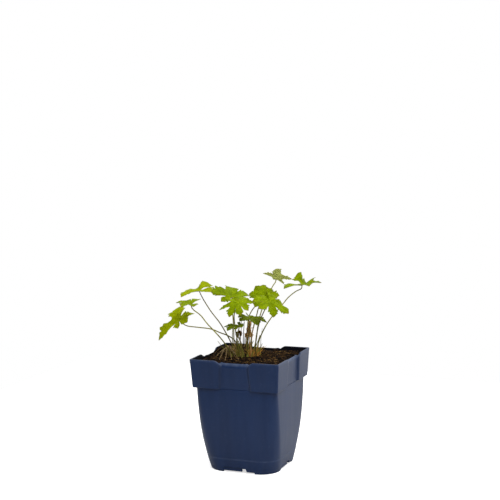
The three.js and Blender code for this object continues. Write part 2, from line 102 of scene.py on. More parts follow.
# Recess in the middle of each side of the band
RECESS_TOP_HALF = 42.8
RECESS_TOP_REACH = 12.5
RECESS_FOOT_REACH = 14.5
RECESS_SLANT = 2.0
RECESS_CORNER = 1.4
DIP_OUTER = 5.5
DIP_INNER = 1.7
DIP_FLAT = 9.0
DIP_END = 20.0
# The rim's rounded top, as how far in from the outside and how far below the top
RIM_PROFILE = ((0.0, 0.45), (0.1, 0.14), (0.38, 0.0), (1.02, 0.0), (1.3, 0.14), (1.4, 0.45))

# Underside
FLOOR_UNDER = 4.5
FLOOR_THICKNESS = 1.6
FOOT_WALL = 2.2
RAISED_EDGE = 1.5
RAISED_EDGE_HALF = 16.0
NOTCH_WIDTH = 5.0
NOTCH_HEIGHT = 4.4
NOTCH_OFFSET = 5.5
NOTCH_SLOPE = 1.6
PANEL_HEIGHT = 5.2
PANEL_EDGE = 0.4
DRAIN_RADIUS = 3.0
DRAIN_SPACING = 19.0
DRAIN_SIDES = 28
HUB_RADIUS = 7.0
OVERCUT = 1.0
CUT_OUTSIDE = -BODY_FOOT_HALF - OVERCUT
CUT_INSIDE = -BODY_FOOT_HALF + BODY_FOOT_RADIUS / 4

# Soil
SOIL_LEVEL = 105.4
SOIL_MOUND = 1.4
SOIL_MOUND_REACH = 24.0
SOIL_LUMP = 1.3
LONG_WAVE = 0.37
SHORT_WAVE = 0.43
CROSS_WAVE = (0.19, -0.61)
WAVE_PHASES = (1.3, 0.8)
SOIL_INSET = 1.5
SOIL_ROWS = 56
SOIL_EDGE_DROP = 2.2
SOIL_EDGE_START = 0.78
SOIL_HEAP = (-37.0, 9.0)
SOIL_HEAP_HEIGHT = 4.5
SOIL_HEAP_REACH = 11.0
SOIL_SHARP_ANGLE = 80.0
CRUMB_FREE_ROWS = 4
FIBRE_FREE_ROWS = 12
# Rough ground: each row is the size of the lumps and their height
SOIL_ROUGHNESS = ((6.0, 0.7), (2.4, 0.45), (1.1, 0.22))

# Stems
PETIOLE_FOOT_RADIUS = 0.64
PETIOLE_TOP_RADIUS = 0.48
PETIOLE_SIDES = 10
PETIOLE_STEP = 1.2
PETIOLE_FOOT_DROP = 9.0
JUNCTION_DROP = 3.0
JUNCTION_BACK = 0.6
PETIOLE_SEED = 61
SEED_LIMIT = 999
LEAST_GAP = 1e-6

# Leaf blades
BLADE_THICKNESS = 0.42
BLADE_GRID = 0.95
ROW_SHARE = 0.87
GRID_SHAKE = 0.15
PLACE_SPACING = 0.27
VEIN_STEP = 0.6
VEIN_HALF_WIDTH = 0.34
VEIN_LEAST_SHARE = 0.6
VEIN_GROOVE = 0.07
VEIN_RIDGE = 0.2
RIB_STRENGTH = (1.0, 0.5)
SIDE_VEIN_STRENGTH = (0.7, 0.35)
EDGE_BAND = 1.6
EDGE_THINNING = 0.6
TIP_START = 0.84
ROUNDING_SHARE = 0.17
ROUNDING_PASSES = 2
QUILT_HEIGHT = 0.2
QUILT_SIZE = 2.2
WAVE_HEIGHT = 0.35
WAVE_SIZE = 6.0
WAVE_SEED_STEP = 3
BLADE_SEED = 100
BLADE_TINT = 0.4
BLADE_SHARP_ANGLE = 60.0
LEAST_SPAN = 1e-9
JOIN_REACH = 1e-5
# Half the edge of one lobe, from its narrow foot to its tip, as parts of the lobe's length:
# how far along the rib, and how far out from it
LOBE_EDGE = (
    (0.3, 0.14), (0.42, 0.26), (0.56, 0.42), (0.63, 0.33), (0.76, 0.43),
    (0.79, 0.3), (0.74, 0.2), (0.86, 0.25), (0.88, 0.16), (0.94, 0.09),
)
# Side veins: where each leaves the rib, and the tooth that it runs to
SIDE_VEINS = ((0.24, 0.55, 0.3), (0.4, 0.715, 0.34), (0.6, 0.83, 0.17))
RIB_END = 0.96
CUT_DEPTH = 0.5
OPEN_CUT_DEPTH = 0.14
CUT_MARGIN = 0.05
LOBE_GAP_MARGIN = 0.044
OPEN_SIDE_ANGLE = 0.7
LOBE_FOLD = 0.2
LOBE_ARCH = 0.07
LOBE_BLEND = 0.4
TWIST_START = 0.15
TWIST_REACH = 0.4
SOFT_LEAST_POWER = 6

# Each row is one leaf: the junction, where blade and petiole meet, the tips of its lobes in their
# order round the blade, places along its petiole, and how dark the petiole is. Some leaves have
# lobes that are wider or narrower than usual or slope across, and one is cut deeper.
LEAVES = (
    {"name": "a", "junction": (-57.5, -39, 144.5),
     "tips": ((-49, -21.5, 149), (-68, -17, 153.5), (-77, -44, 125), (-53.5, -50, 139), (-43, -51, 145.5)),
     "cut": 0.36,
     "petiole": ((-9, -8, 109), (-12, -10, 122), (-17.5, -13.5, 127.5), (-24, -18, 131),
                 (-31, -23, 135), (-44, -30, 137.5), (-51.5, -34, 139)),
     "stem": 0.5, "finish": "yellowed"},
    {"name": "b", "junction": (-43.5, -41, 161),
     "tips": ((-43, -27.5, 164), (-53, -32, 163), (-58.5, -43, 162),
              (-48, -54.5, 160.5), (-36, -51.5, 160.5)),
     "petiole": ((-15, -13.5, 109), (-19.5, -19.5, 122), (-26.5, -27.5, 134.5), (-31, -32, 141.5),
                 (-36.5, -36, 150.5), (-41.5, -39.5, 155.5)),
     "stem": 0.25, "finish": "fresh"},
    {"name": "c", "junction": (-55, 4, 167),
     "tips": ((-52.5, 20, 173.5), (-66, 17, 166), (-70, 2.5, 166.5), (-66.5, -14.5, 163), (-38, -6.5, 168)),
     "widths": (1.2, 1.1, 1.25, 1, 1),
     "slopes": (0.6, 0, 0, 0, 0),
     "petiole": ((-14, -3.5, 108), (-19.5, -2.5, 119), (-24.5, -1, 126.5), (-31.5, -0.5, 137),
                 (-41, 0, 148), (-48.5, 1, 158)),
     "stem": 0.8, "finish": "yellowed"},
    {"name": "d", "junction": (-25, 16, 160.5),
     "tips": ((-7.5, 11, 155), (-16, 34, 161.5), (-32, 33.5, 167.5), (-44, 4, 167), (-32, 3.5, 157.5)),
     "petiole": ((-16.5, -1, 108.5), (-18, 1.5, 119.5), (-20, 6, 133.5), (-23, 11, 148.5)),
     "stem": 0.5, "finish": "fresh"},
    {"name": "e", "junction": (-1, -27.5, 162.5),
     "tips": ((-12.5, -18, 164), (-19, -31.5, 155), (-5.5, -39.5, 150), (6.5, -40.5, 152.5),
              (11.5, -32.5, 156), (11.5, -18.5, 161.5), (2.5, -13, 165)),
     "widths": (1, 0.35, 0.9, 0.9, 0.9, 0.9, 1),
     "petiole": ((-6.5, -11.5, 108), (-8.5, -12.5, 122.5), (-9.5, -15.5, 137), (-7, -22.5, 151.5)),
     "stem": 0.65, "finish": "bright"},
    {"name": "f", "junction": (8, 17, 161.5),
     "tips": ((24, 18, 163.5), (11, 28.5, 169), (2.5, 29.5, 172), (-8, 17.5, 164), (2.5, 6, 153)),
     "petiole": ((-1.5, 2.5, 109.5), (-1, 6, 125.5), (2, 11.5, 143.5), (4, 14.5, 153)),
     "stem": 0.5, "finish": "fresh"},
    {"name": "g", "junction": (28, -20, 164),
     "tips": ((17, -12, 167.5), (14, -29, 165), (23, -35, 158.5), (35, -29, 150),
              (46.5, -19, 152.5), (37, -9.5, 159.5), (28.5, -7.5, 167.5)),
     "petiole": ((7.5, -5.5, 107.5), (9, -9, 122.5), (13, -11, 139), (19, -15.5, 150.5)),
     "stem": 0.65, "finish": "bright"},
    {"name": "h", "junction": (10.5, 45, 176),
     "tips": ((5.5, 51, 174.5), (1, 33, 183), (14, 36, 187.5), (28.5, 42.5, 176.5), (15.5, 53, 170)),
     "widths": (0.8, 0.4, 0.8, 0.45, 0.8),
     "slopes": (0, 0, 0.5, 0, 0.4),
     "petiole": ((-0.5, 7.5, 107.5), (1, 12, 119), (0.5, 19.5, 133.5), (1, 28.5, 146.5),
                 (5, 37.5, 160), (7.5, 43, 169)),
     "stem": 0.15, "finish": "pale"},
    {"name": "i", "junction": (44.5, 25.5, 173.5),
     "tips": ((32, 7.5, 172), (57, 10, 175), (64.5, 25.5, 176.5), (48, 42, 173), (36, 35.5, 183)),
     "widths": (0.8, 0.7, 0.7, 1.2, 1.3),
     "slopes": (0, 0, 0, -0.6, -0.8),
     "petiole": ((6, 1.5, 107.5), (7, 3, 119), (12, 6, 132.5), (18.5, 9.5, 143.5),
                 (27, 15, 154.5), (33, 18.5, 162.5), (39.5, 22, 168)),
     "stem": 0.1, "finish": "fresh"},
    {"name": "j", "junction": (4, -10.5, 145.5),
     "tips": ((-5, -19.5, 147), (-0.5, -26, 144.5), (15, -21, 140.5), (19, -4.5, 140.5), (-1, -2, 146)),
     "petiole": ((-1, -7, 109.5), (1.5, -10, 124), (4, -12, 136)),
     "stem": 0.9, "finish": "shaded"},
    {"name": "k", "junction": (-2.5, -24.5, 140),
     "tips": ((-17.5, -24.5, 137.5), (-9, -36.5, 136.5), (-1.5, -34, 137.5),
              (4, -31, 139.5), (-2, -16.5, 140)),
     "widths": (0.6, 0.9, 1, 1, 1),
     "petiole": ((-3.5, -14.5, 108.5), (-3, -18, 122), (-4, -23, 132)),
     "stem": 0.8, "finish": "shaded"},
    {"name": "l", "junction": (-3.5, 48, 157),
     "tips": ((6, 45.5, 156), (5.5, 57, 160.5), (-5, 57, 166.5), (-14, 50.5, 167.5), (-13, 49, 153.5)),
     "petiole": ((-6.5, 5, 109), (-9.5, 15.5, 125.5), (-12, 27.5, 140.5), (-9, 40, 150)),
     "stem": 0.5, "finish": "fresh"},
)

# Dead, shrivelled leaves that still stand among the petioles
DEAD_LEAVES = (
    {"name": "dead_leaf_tan", "junction": (1.5, -3, 134),
     "tips": ((0.5, -1, 141.5), (-1.5, -4.5, 122.5), (3.5, -5.5, 125)),
     "widths": (0.6, 0.8, 0.7),
     "petiole": ((0.5, -0.5, 109.5), (1.5, -1, 117), (2, -1.5, 125))},
    {"name": "dead_leaf_dark", "junction": (-9, -7, 132),
     "tips": ((-8, -4, 126), (-11, -6, 124), (-11.5, -9, 127.5)),
     "widths": (1, 1.1, 0.9),
     "petiole": ((-6, -3.5, 109.5), (-7, -5, 117.5), (-8.5, -6.5, 124.5))},
)
# What a lobe's shape is where a leaf's row doesn't give it
LOBE_SHAPE = (("widths", 1.0), ("slopes", 0.0))
CRUMPLE_HEIGHT = 0.9
CRUMPLE_SIZE = 1.6
CRUMPLE_SEED_STEP = 7
DEAD_THICKNESS = 0.35
DEAD_SEED = 200
DEAD_STALK_TAPER = 0.7
DEAD_STALK_TINT = 0.5

# Tufts of old sheaths and stalk bases round the feet of the petioles. Heights are above the soil.
TUFTS = (
    {"name": "crown_straw", "centre": (-19, -8.5), "core": 2.6, "strands": 22, "reach": (6, 17),
     "height": (6.5, 10.5), "radius": (0.26, 0.46), "drooping": True, "seed": 11},
    {"name": "crown_olive", "centre": (-9.5, -5), "core": 4.6, "strands": 34, "reach": (0.5, 7),
     "height": (5, 15), "radius": (0.26, 0.6), "drooping": False, "seed": 23},
    {"name": "crown_rust", "centre": (4, -2), "core": 5.0, "strands": 44, "reach": (0.5, 8),
     "height": (3, 12.5), "radius": (0.22, 0.48), "drooping": False, "seed": 37},
)
STRAND_SIDES = 6
STRAND_STEPS = 10
STRAND_ROOT = 2.5
STRAND_TIP_SHARE = 0.35
STRAND_SWAY = 1.5
STRAND_INNERMOST = 0.1
STALK_TAPER = 0.55
# An upright strand stands straight up to a height, then bends at a share of its reach and rise
UPRIGHT_START = 0.5
UPRIGHT_BEND = (0.35, 0.5)
# A drooping one rises by a straight part first, and its tip runs out and down into the soil
DROOP_STEM = 3.0
DROOP_BEND = (0.55, 0.72)
DROOP_TOUCH = 0.4
DROOP_TIP_OUT = 1.5
DROOP_TIP_DOWN = 0.6
# The short thick stem in a tuft: its root, its height in an upright tuft, and its taper
CORE_ROOT = 4.0
CORE_HEIGHT_SHARE = 0.6
CORE_TAPER = (0.7, 0.2)
CORE_STEP = 1.0

# Bare stalks and young shoots, by finish: foot to tip, the radius at the foot, and how dark
OLD_STALKS = {
    "green": (
        (((9.5, 1.5, 103), (9.5, 1.5, 110.5), (10, 1, 117.5), (11.5, -1, 125.5), (13, -1.5, 134.5)), 0.3, 0),
        (((7, -3.5, 103), (7, -3.5, 109.5), (11, -3, 113.5), (15, -2.5, 117)), 0.55, 0.1),
        (((4.5, -4.5, 103), (4.5, -4.5, 107.5), (8, -2, 112), (10.5, 0, 115.5), (11.5, 1.5, 119)), 0.5, 0.2),
        (((3.5, -6, 103), (3.5, -6, 108.5), (7, -5, 113.5), (9, -3, 118), (9.5, -1.5, 121.5)), 0.5, 0.1),
        (((3, -5.5, 103), (3, -5.5, 108.5), (6.5, -4, 116), (9.5, -3.5, 123), (11.5, -4, 128)), 0.55, 0.4),
        (((4, -5, 104), (4, -5, 111.5), (3.5, -5, 119), (3.5, -5, 125), (5, -4.5, 128.5)), 0.3, 0.5),
        (((-16, -11, 103), (-17.5, -14, 110), (-21, -19.5, 117), (-24.5, -23.5, 124)), 0.36, 0.6),
        (((-15, -9.5, 104), (-15, -9.5, 111), (-15.5, -8.5, 121.5), (-16, -6.5, 131), (-16.5, -2.5, 143)),
         0.5, 0.4),
        (((-11, -8.5, 104), (-11, -8.5, 110), (-11, -8.5, 118), (-11.5, -8, 124.5)), 0.6, 0.1),
        (((-9, -9, 104), (-9, -9, 109.5), (-9.5, -9, 117), (-10.5, -9.5, 125.5)), 0.6, 0),
        (((-5.5, -8.5, 104), (-5.5, -8.5, 109.5), (-7, -9, 115.5), (-8.5, -10, 122.5)), 0.65, 0.1),
        (((-4, -8, 104), (-4, -8, 108.5), (-5.5, -8.5, 114.5), (-6.5, -8, 120)), 0.6, 0),
        (((-1, -7, 104), (-1, -7, 108.5), (-0.5, -5.5, 115), (0.5, -4, 121.5)), 0.6, 0.2),
        (((0, -6.5, 104), (0, -6.5, 109.5), (2, -4.5, 116), (4, -2.5, 122)), 0.55, 0.1),
    ),
    "brown": (
        (((-5, -6.5, 104), (-5, -6.5, 110), (-5, -6.5, 121), (-5, -5, 130.5), (-4.5, -4, 140.5)), 0.55, 1),
        (((-4, -5, 104), (-4, -5, 110), (-4.5, -5, 117.5), (-4, -5, 125.5)), 0.5, 0.9),
        (((-8.5, -6.5, 104), (-8.5, -6.5, 110), (-8, -6.5, 121.5), (-7.5, -5, 131.5), (-7.5, -4, 141)),
         0.4, 0),
        (((-2, -6, 104), (-2, -6, 110), (-2.5, -6.5, 121.5), (-2, -5, 129.5), (-1, -3.5, 137)), 0.45, 0.3),
    ),
    "rust": (
        (((2.5, -5.5, 104), (2.5, -5.5, 110.5), (1.5, -6, 120), (1, -5, 127), (1, -5, 134.5),
          (0.5, -4, 141.5)), 0.55, 0.2),
        (((2.5, -3.5, 104), (2.5, -3.5, 113), (2.5, -3.5, 122.5), (3, -2, 131), (4, -0.5, 139)), 0.28, 0.1),
    ),
}

# Loose matter on the soil
CRUMBS_PER_M2 = 420000.0
CRUMB_SIZES = (0.35, 1.25)
CRUMB_SHAPES = ((0.5, 0.5, 0.4), (1.1, 1.0, 0.9))
CRUMB_SEED = 5
FIBRES_PER_M2 = 60000.0
FIBRE_LENGTHS = (4.0, 13.0)
FIBRE_RADIUS = 0.13
FIBRE_WANDER = 2.2
FIBRE_WAVE = 140.0
FIBRE_POINTS = 12
FIBRE_SIDES = 4
FIBRE_TILT = 0.15
FIBRE_FREEDOM = (2.0, 2.0, 0.35)
FIBRE_SEED = 9

# Hairs on stems and leaves
HAIR_LENGTHS = (0.35, 0.8)
HAIR_RADIUS = 0.022
HAIR_SIDES = 3
HAIR_LEAN = 0.5
PETIOLE_HAIRS_PER_M2 = 700000.0
BLADE_HAIRS_PER_M2 = 260000.0

# Surfaces. A look is the roughness and the shine, and for stems also how far streaks are squeezed.
# Patches are the mottled colour and grain is the fine relief; a bump is its depth and strength.
NOISE_DETAIL = 3.0
NOISE_ROUGHNESS = 0.55
MOTTLE_NOISE = (4.0, 0.6)
MOTTLE_SPREAD = 0.25
NOISE_MIDDLE = 0.5
RELIEF_DETAIL = 2.0
RELIEF_FINER = 4.0
POT_LOOK = (0.42, 0.2)
POT_FLOW = {"scale": 60.0, "stretch": 0.12, "contrast": 1.8}
POT_STREAKS = {"scale": 150.0, "stretch": 0.06, "contrast": 1.2}
POT_GRAIN = {"scale": 900.0, "stretch": 0.5, "fine_share": 0.5}
POT_BUMP = (0.03, 0.5)
INSIDE_LOOK = (0.8, 0.08)
INSIDE_PATCHES = {"scale": 180.0, "contrast": 1.2}
INSIDE_GRAIN = {"scale": 900.0, "fine_share": 0.6}
INSIDE_BUMP = 0.05
SOIL_LOOK = (0.95, 0.05)
SOIL_PATCH_SCALE = 420.0
SOIL_GRAIN = {"scale": 1500.0, "fine_share": 0.8}
SOIL_BUMP = 0.35
LEAF_LOOK = (0.6, 0.03)
LEAF_PATCHES = {"scale": 170.0, "contrast": 1.4}
LEAF_GRAIN = {"scale": 1200.0, "fine_share": 0.5}
LEAF_BUMP = (0.05, 0.6)
STEM_LOOK = (0.6, 0.12, 0.1)
FIBRE_LOOK = (0.8, 0.1, 1.0)
DRY_LOOK = (0.8, 0.08, 1.0)
STEM_PATCHES = {"scale": 340.0, "contrast": 1.6}
STEM_GRAIN = {"scale": 1800.0, "fine_share": 0.5}
STEM_BUMP = (0.06, 0.7)
FLOOR_LOOK = (0.9, 0.1)
# Dust, worn patches and a painted highlight on the pot: noise is its scale, detail and roughness; limits are
# where it starts and is full, and what it starts from
SPECK_NOISE = (420.0, 4.0, 0.7)
SPECK_LIMITS = (0.58, 0.74)
RUBBED_AND_HIGHLIGHT_NOISE = (260.0, 4.0, 0.65)
RUBBED_AND_HIGHLIGHT_LIMITS = (0.36, 0.66, 0.5)
STREAK_SHARE = 0.02
SPECK_SHARE = 0.04
RUBBED_AND_HIGHLIGHT_SHARE = 0.6
CLEAN_ROUGHNESS = 0.38
STREAK_ROUGHNESS = 0.06
WORN_ROUGHNESS = 0.3
# Crumbs and leaves
CRUMB_TINT_POWER = 4.0
CELL_SCALE = 900.0
CELL_HEIGHT = 1.5
NET_LIMITS = (0.0, 0.16, 0.25, 0.0)
VEIN_SHARE = 0.55
UNDER_SHARE = 0.85
BROWN_SCALE = 230.0
BROWN_LIMITS = (0.45, 0.7)
BROWN_MOST = 0.8


def srgb(red, green, blue):
    """A colour given as it shows on a screen, 0 to 255, as the shader wants it."""
    def channel(value):
        share = value / 255
        return share / 12.92 if share <= 0.04045 else ((share + 0.055) / 1.055) ** 2.4
    return (channel(red), channel(green), channel(blue), 1.0)


# Colours. Those that aren't given as they show on a screen are as the shader wants them.
NAVY = (0.0050, 0.0196, 0.0705, 1.0)
NAVY_DEEP = (0.0034, 0.0132, 0.048, 1.0)
# The navy painted darker, as shade on the recess shoulders
NAVY_PAINTED_SHADE = (0.002, 0.0075, 0.027, 1.0)
# The inside of the pot, painted near-black as the shade that falls inside it, with a little soil dust
INSIDE_NAVY_PAINTED_SHADE = (0.0025, 0.004, 0.01, 1.0)
INSIDE_DUST_AND_PAINTED_SHADE = (0.008, 0.007, 0.0065, 1.0)
# The pale grey-blue of worn edges, which is also a painted highlight where they catch the light
SCUFF_AND_HIGHLIGHT = srgb(120, 132, 156)
SOIL_BROWN = srgb(21, 18, 17)
SOIL_BLACK = srgb(8, 7, 8)
CRUMB_BROWN = srgb(56, 41, 28)
FIBRE_TAN = srgb(188, 150, 84)
FIBRE_DARK = srgb(84, 58, 32)
VEIN_PALE = srgb(150, 164, 10)
LEAF_BROWN = srgb(118, 84, 30)
# Each finish is a top colour, a dark patch colour, an underside colour and how much the edges brown. The
# 'shaded' one is the leaf green painted darker, as painted shade for the low leaves j and k that lie under
# the others.
LEAF_FINISHES = {
    "bright": (srgb(120, 140, 0), srgb(66, 86, 0), srgb(130, 146, 20), 0.4),
    "yellowed": (srgb(134, 144, 0), srgb(96, 110, 0), srgb(146, 152, 16), 0.25),
    "fresh": (srgb(112, 132, 0), srgb(60, 80, 0), srgb(140, 152, 60), 0.45),
    "pale": (srgb(150, 160, 66), srgb(128, 140, 46), srgb(196, 204, 112), 0.6),
    "shaded": (srgb(82, 96, 0), srgb(58, 72, 0), srgb(92, 106, 20), 0.1),
}
PETIOLE_OLIVE = srgb(176, 176, 74)
PETIOLE_BROWN = srgb(92, 82, 42)
STRAW = (srgb(214, 190, 146), srgb(124, 98, 66))
OLIVE = (srgb(240, 212, 132), srgb(150, 118, 62))
RUST = (srgb(255, 206, 108), srgb(188, 124, 50))
BROWN = (srgb(132, 112, 66), srgb(34, 28, 26))
DEAD_TAN = (srgb(240, 200, 140), srgb(164, 116, 62))
DEAD_DARK = (srgb(142, 104, 50), srgb(74, 52, 24))


# Numbers
def mix(a, b, t):
    return a + (b - a) * t


def smooth(t):
    u = min(max(t, 0.0), 1.0)
    return u * u * (3 - 2 * u)


def soft_least(a, b):
    """A little below the smaller of two lengths, without a kink where they cross."""
    power = SOFT_LEAST_POWER
    return (a ** -power + b ** -power) ** (-1 / power)


def lumps(place, size, seed=0.0):
    """Smooth random heights between about -1 and 1, with lumps of a given size."""
    return noise.noise(Vector(place) / size + Vector((seed, -seed, 2 * seed)))


# Meshes
def mesh_from(name, points, faces=(), edges=()):
    mesh = bpy.data.meshes.new(name)
    mesh.from_pydata([Vector(p) * MM for p in points], edges, faces)
    mesh.update()
    return mesh


def store(mesh, name, values):
    """Keeps one number for each point of a mesh."""
    attribute = mesh.attributes.new(name, "FLOAT", "POINT")
    attribute.data.foreach_set("value", values)


def in_scene(name, data):
    """A new object in the scene, of a mesh, a light or a camera."""
    made = bpy.data.objects.new(name, data)
    bpy.context.scene.collection.objects.link(made)
    return made


def piece(name, mesh, slot, *nodes):
    """An object at the origin that rides on the pot and stands for the named nodes."""
    made = in_scene(name, mesh)
    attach(made, BODY)
    if nodes:
        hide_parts(*nodes)


def ring_grid(rings, close_start=True):
    """Points and faces of a skin through rings that have the same number of points."""
    count = len(rings[0])
    points = [p for ring in rings for p in ring]
    faces = []
    for a in range(0, len(points) - count, count):
        b = a + count
        for i in range(count):
            j = (i + 1) % count
            faces.append((a + i, a + j, b + j, b + i))
    ends = [(rings[0], 0)] if close_start else []
    for ring, start in (*ends, (rings[-1], len(points) - count)):
        hub = len(points)
        points.append(sum((Vector(p) for p in ring), Vector()) / count)
        faces.extend((start + i, start + (i + 1) % count, hub) for i in range(count))
    return points, faces


def tidied(mesh):
    """Merges the points that fall together and turns the faces outwards."""
    work = bmesh.new()
    work.from_mesh(mesh)
    bmesh.ops.remove_doubles(work, verts=work.verts, dist=MERGE_REACH * MM)
    bmesh.ops.dissolve_degenerate(work, edges=work.edges, dist=MERGE_REACH * MM)
    bmesh.ops.recalc_face_normals(work, faces=work.faces)
    work.to_mesh(mesh)
    work.free()
    return mesh


def smoothed(mesh, angle):
    for polygon in mesh.polygons:
        polygon.use_smooth = True
    mesh.set_sharp_from_angle(angle=math.radians(angle))
    return mesh


def evaluated(base):
    """The plain mesh that an object gives with its modifiers; the object is removed."""
    bpy.context.view_layer.update()
    depsgraph = bpy.context.evaluated_depsgraph_get()
    mesh = bpy.data.meshes.new_from_object(
        base.evaluated_get(depsgraph), preserve_all_data_layers=True, depsgraph=depsgraph)
    bpy.data.objects.remove(base)
    return mesh


def cut_by(mesh, cutter):
    base = in_scene(mesh.name, mesh)
    tool = in_scene(cutter.name, cutter)
    modifier = base.modifiers.new("cut", "BOOLEAN")
    modifier.operation = "DIFFERENCE"
    modifier.solver = "EXACT"
    modifier.object = tool
    result = evaluated(base)
    bpy.data.objects.remove(tool)
    return result


def grown(mesh, tree, **values):
    """The plain mesh that a geometry tree makes from a mesh, with the tree's named inputs set."""
    base = in_scene(mesh.name, mesh)
    modifier = base.modifiers.new(tree.name, "NODES")
    modifier.node_group = tree
    for item in tree.interface.items_tree:
        key = item.name.lower().replace(" ", "_")
        if item.item_type == "SOCKET" and item.in_out == "INPUT" and key in values:
            modifier[item.identifier] = values[key]
    result = evaluated(base)
    result.materials.clear()
    result.materials.append(values["material"])
    return result


# Node trees
FLOAT = "NodeSocketFloat"
COLOUR = "NodeSocketColor"


def add(tree, kind, inputs=None, **settings):
    """A node with its settings, and its inputs by name or number, each a value or a socket."""
    node = tree.nodes.new(kind)
    for key, value in settings.items():
        setattr(node, key, value)
    for key, value in (inputs or {}).items():
        if isinstance(value, bpy.types.NodeSocket):
            tree.links.new(value, node.inputs[key])
        else:
            node.inputs[key].default_value = value
    return node


def blended(tree, share, first, second):
    """Two colours mixed by a share; a mix node has its colours at sockets 6 and 7."""
    node = add(tree, "ShaderNodeMix", {0: share, 6: first, 7: second}, data_type="RGBA")
    return node.outputs[2]


def worked(tree, operation, *values):
    return add(tree, "ShaderNodeMath", dict(enumerate(values)), operation=operation).outputs[0]


def added_up(tree, total, *parts):
    """A value with others added to it, each times its own factor."""
    for value, factor in parts:
        total = worked(tree, "MULTIPLY_ADD", value, factor, total)
    return total


def vectors(tree, operation, *values):
    return add(tree, "ShaderNodeVectorMath", dict(enumerate(values)), operation=operation).outputs[0]


def scaled(tree, vector, factor):
    return add(tree, "ShaderNodeVectorMath", {0: vector, 3: factor}, operation="SCALE").outputs[0]


def stretched(tree, value, low, high, to_low=0.0, to_high=1.0):
    node = add(tree, "ShaderNodeMapRange", {
        "Value": value, "From Min": low, "From Max": high, "To Min": to_low, "To Max": to_high,
    }, interpolation_type="SMOOTHSTEP")
    return node.outputs["Result"]


def attribute_of(tree, name):
    return add(tree, "ShaderNodeAttribute", attribute_name=name).outputs["Fac"]


def object_place(tree):
    return add(tree, "ShaderNodeTexCoord").outputs["Object"]


def noise_of(tree, place, scale, detail=NOISE_DETAIL, rough=NOISE_ROUGHNESS):
    node = add(tree, "ShaderNodeTexNoise", {
        "Vector": place, "Scale": scale, "Detail": detail, "Roughness": rough})
    return node.outputs["Fac"]


def new_group(name, inputs, outputs):
    """A shader group with named inputs, where each number starts at 1, and named outputs."""
    tree = bpy.data.node_groups.new(name, "ShaderNodeTree")
    for label, kind in inputs:
        socket = tree.interface.new_socket(label, in_out="INPUT", socket_type=kind)
        if kind == FLOAT:
            socket.default_value = 1.0
    for label, kind in outputs:
        tree.interface.new_socket(label, in_out="OUTPUT", socket_type=kind)
    return tree, tree.nodes.new("NodeGroupInput").outputs, tree.nodes.new("NodeGroupOutput").inputs


def squeezed_place(tree, stretch):
    """Places on the object with their heights squeezed, which draws a pattern out upwards."""
    squeeze = add(tree, "ShaderNodeCombineXYZ", {"X": 1.0, "Y": 1.0, "Z": stretch})
    return vectors(tree, "MULTIPLY", object_place(tree), squeeze.outputs[0])


def mottle_group():
    """Two colours in soft patches, stretched along the height."""
    tree, given, result = new_group(
        "mottle",
        (("Light", COLOUR), ("Dark", COLOUR), ("Scale", FLOAT), ("Stretch", FLOAT), ("Contrast", FLOAT)),
        (("Colour", COLOUR), ("Patch", FLOAT)))
    patch = noise_of(tree, squeezed_place(tree, given["Stretch"]), given["Scale"], *MOTTLE_NOISE)
    spread = worked(tree, "MULTIPLY", given["Contrast"], MOTTLE_SPREAD)
    low = worked(tree, "SUBTRACT", NOISE_MIDDLE, spread)
    high = worked(tree, "ADD", NOISE_MIDDLE, spread)
    share = stretched(tree, patch, low, high)
    tree.links.new(blended(tree, share, given["Dark"], given["Light"]), result["Colour"])
    tree.links.new(share, result["Patch"])
    return tree


def relief_group():
    """Fine random height for a bump, coarse and fine together."""
    tree, given, result = new_group(
        "fine_relief", (("Scale", FLOAT), ("Stretch", FLOAT), ("Fine Share", FLOAT)), (("Height", FLOAT),))
    place = squeezed_place(tree, given["Stretch"])
    coarse = noise_of(tree, place, given["Scale"], RELIEF_DETAIL)
    fine_scale = worked(tree, "MULTIPLY", given["Scale"], RELIEF_FINER)
    fine = noise_of(tree, place, fine_scale, RELIEF_DETAIL)
    tree.links.new(added_up(tree, coarse, (fine, given["Fine Share"])), result["Height"])
    return tree


MOTTLE = mottle_group()
RELIEF = relief_group()


def placed(tree, group, **values):
    """The outputs of a group in a material, with its inputs set by name."""
    inputs = {key.replace("_", " ").title(): value for key, value in values.items()}
    return add(tree, "ShaderNodeGroup", inputs, node_tree=group).outputs


Surface = namedtuple("Surface", "material tree shader")


def new_material(name, roughness, specular):
    material = bpy.data.materials.new(name)
    material.use_nodes = True
    shader = material.node_tree.nodes["Principled BSDF"]
    shader.inputs["Roughness"].default_value = roughness
    shader.inputs["Specular IOR Level"].default_value = specular
    return Surface(material, material.node_tree, shader)


def mottled(tree, light, dark, **patches):
    return placed(tree, MOTTLE, light=light, dark=dark, **patches)["Colour"]


def grain(tree, **settings):
    return placed(tree, RELIEF, **settings)["Height"]


def finished(made, colour, height, distance, strength=1.0):
    """Gives a new material its colour, and bumps of a height in millimetres."""
    material, tree, shader = made
    tree.links.new(colour, shader.inputs["Base Color"])
    bump = add(tree, "ShaderNodeBump", {"Height": height, "Distance": distance * MM, "Strength": strength})
    tree.links.new(bump.outputs["Normal"], shader.inputs["Normal"])
    return material


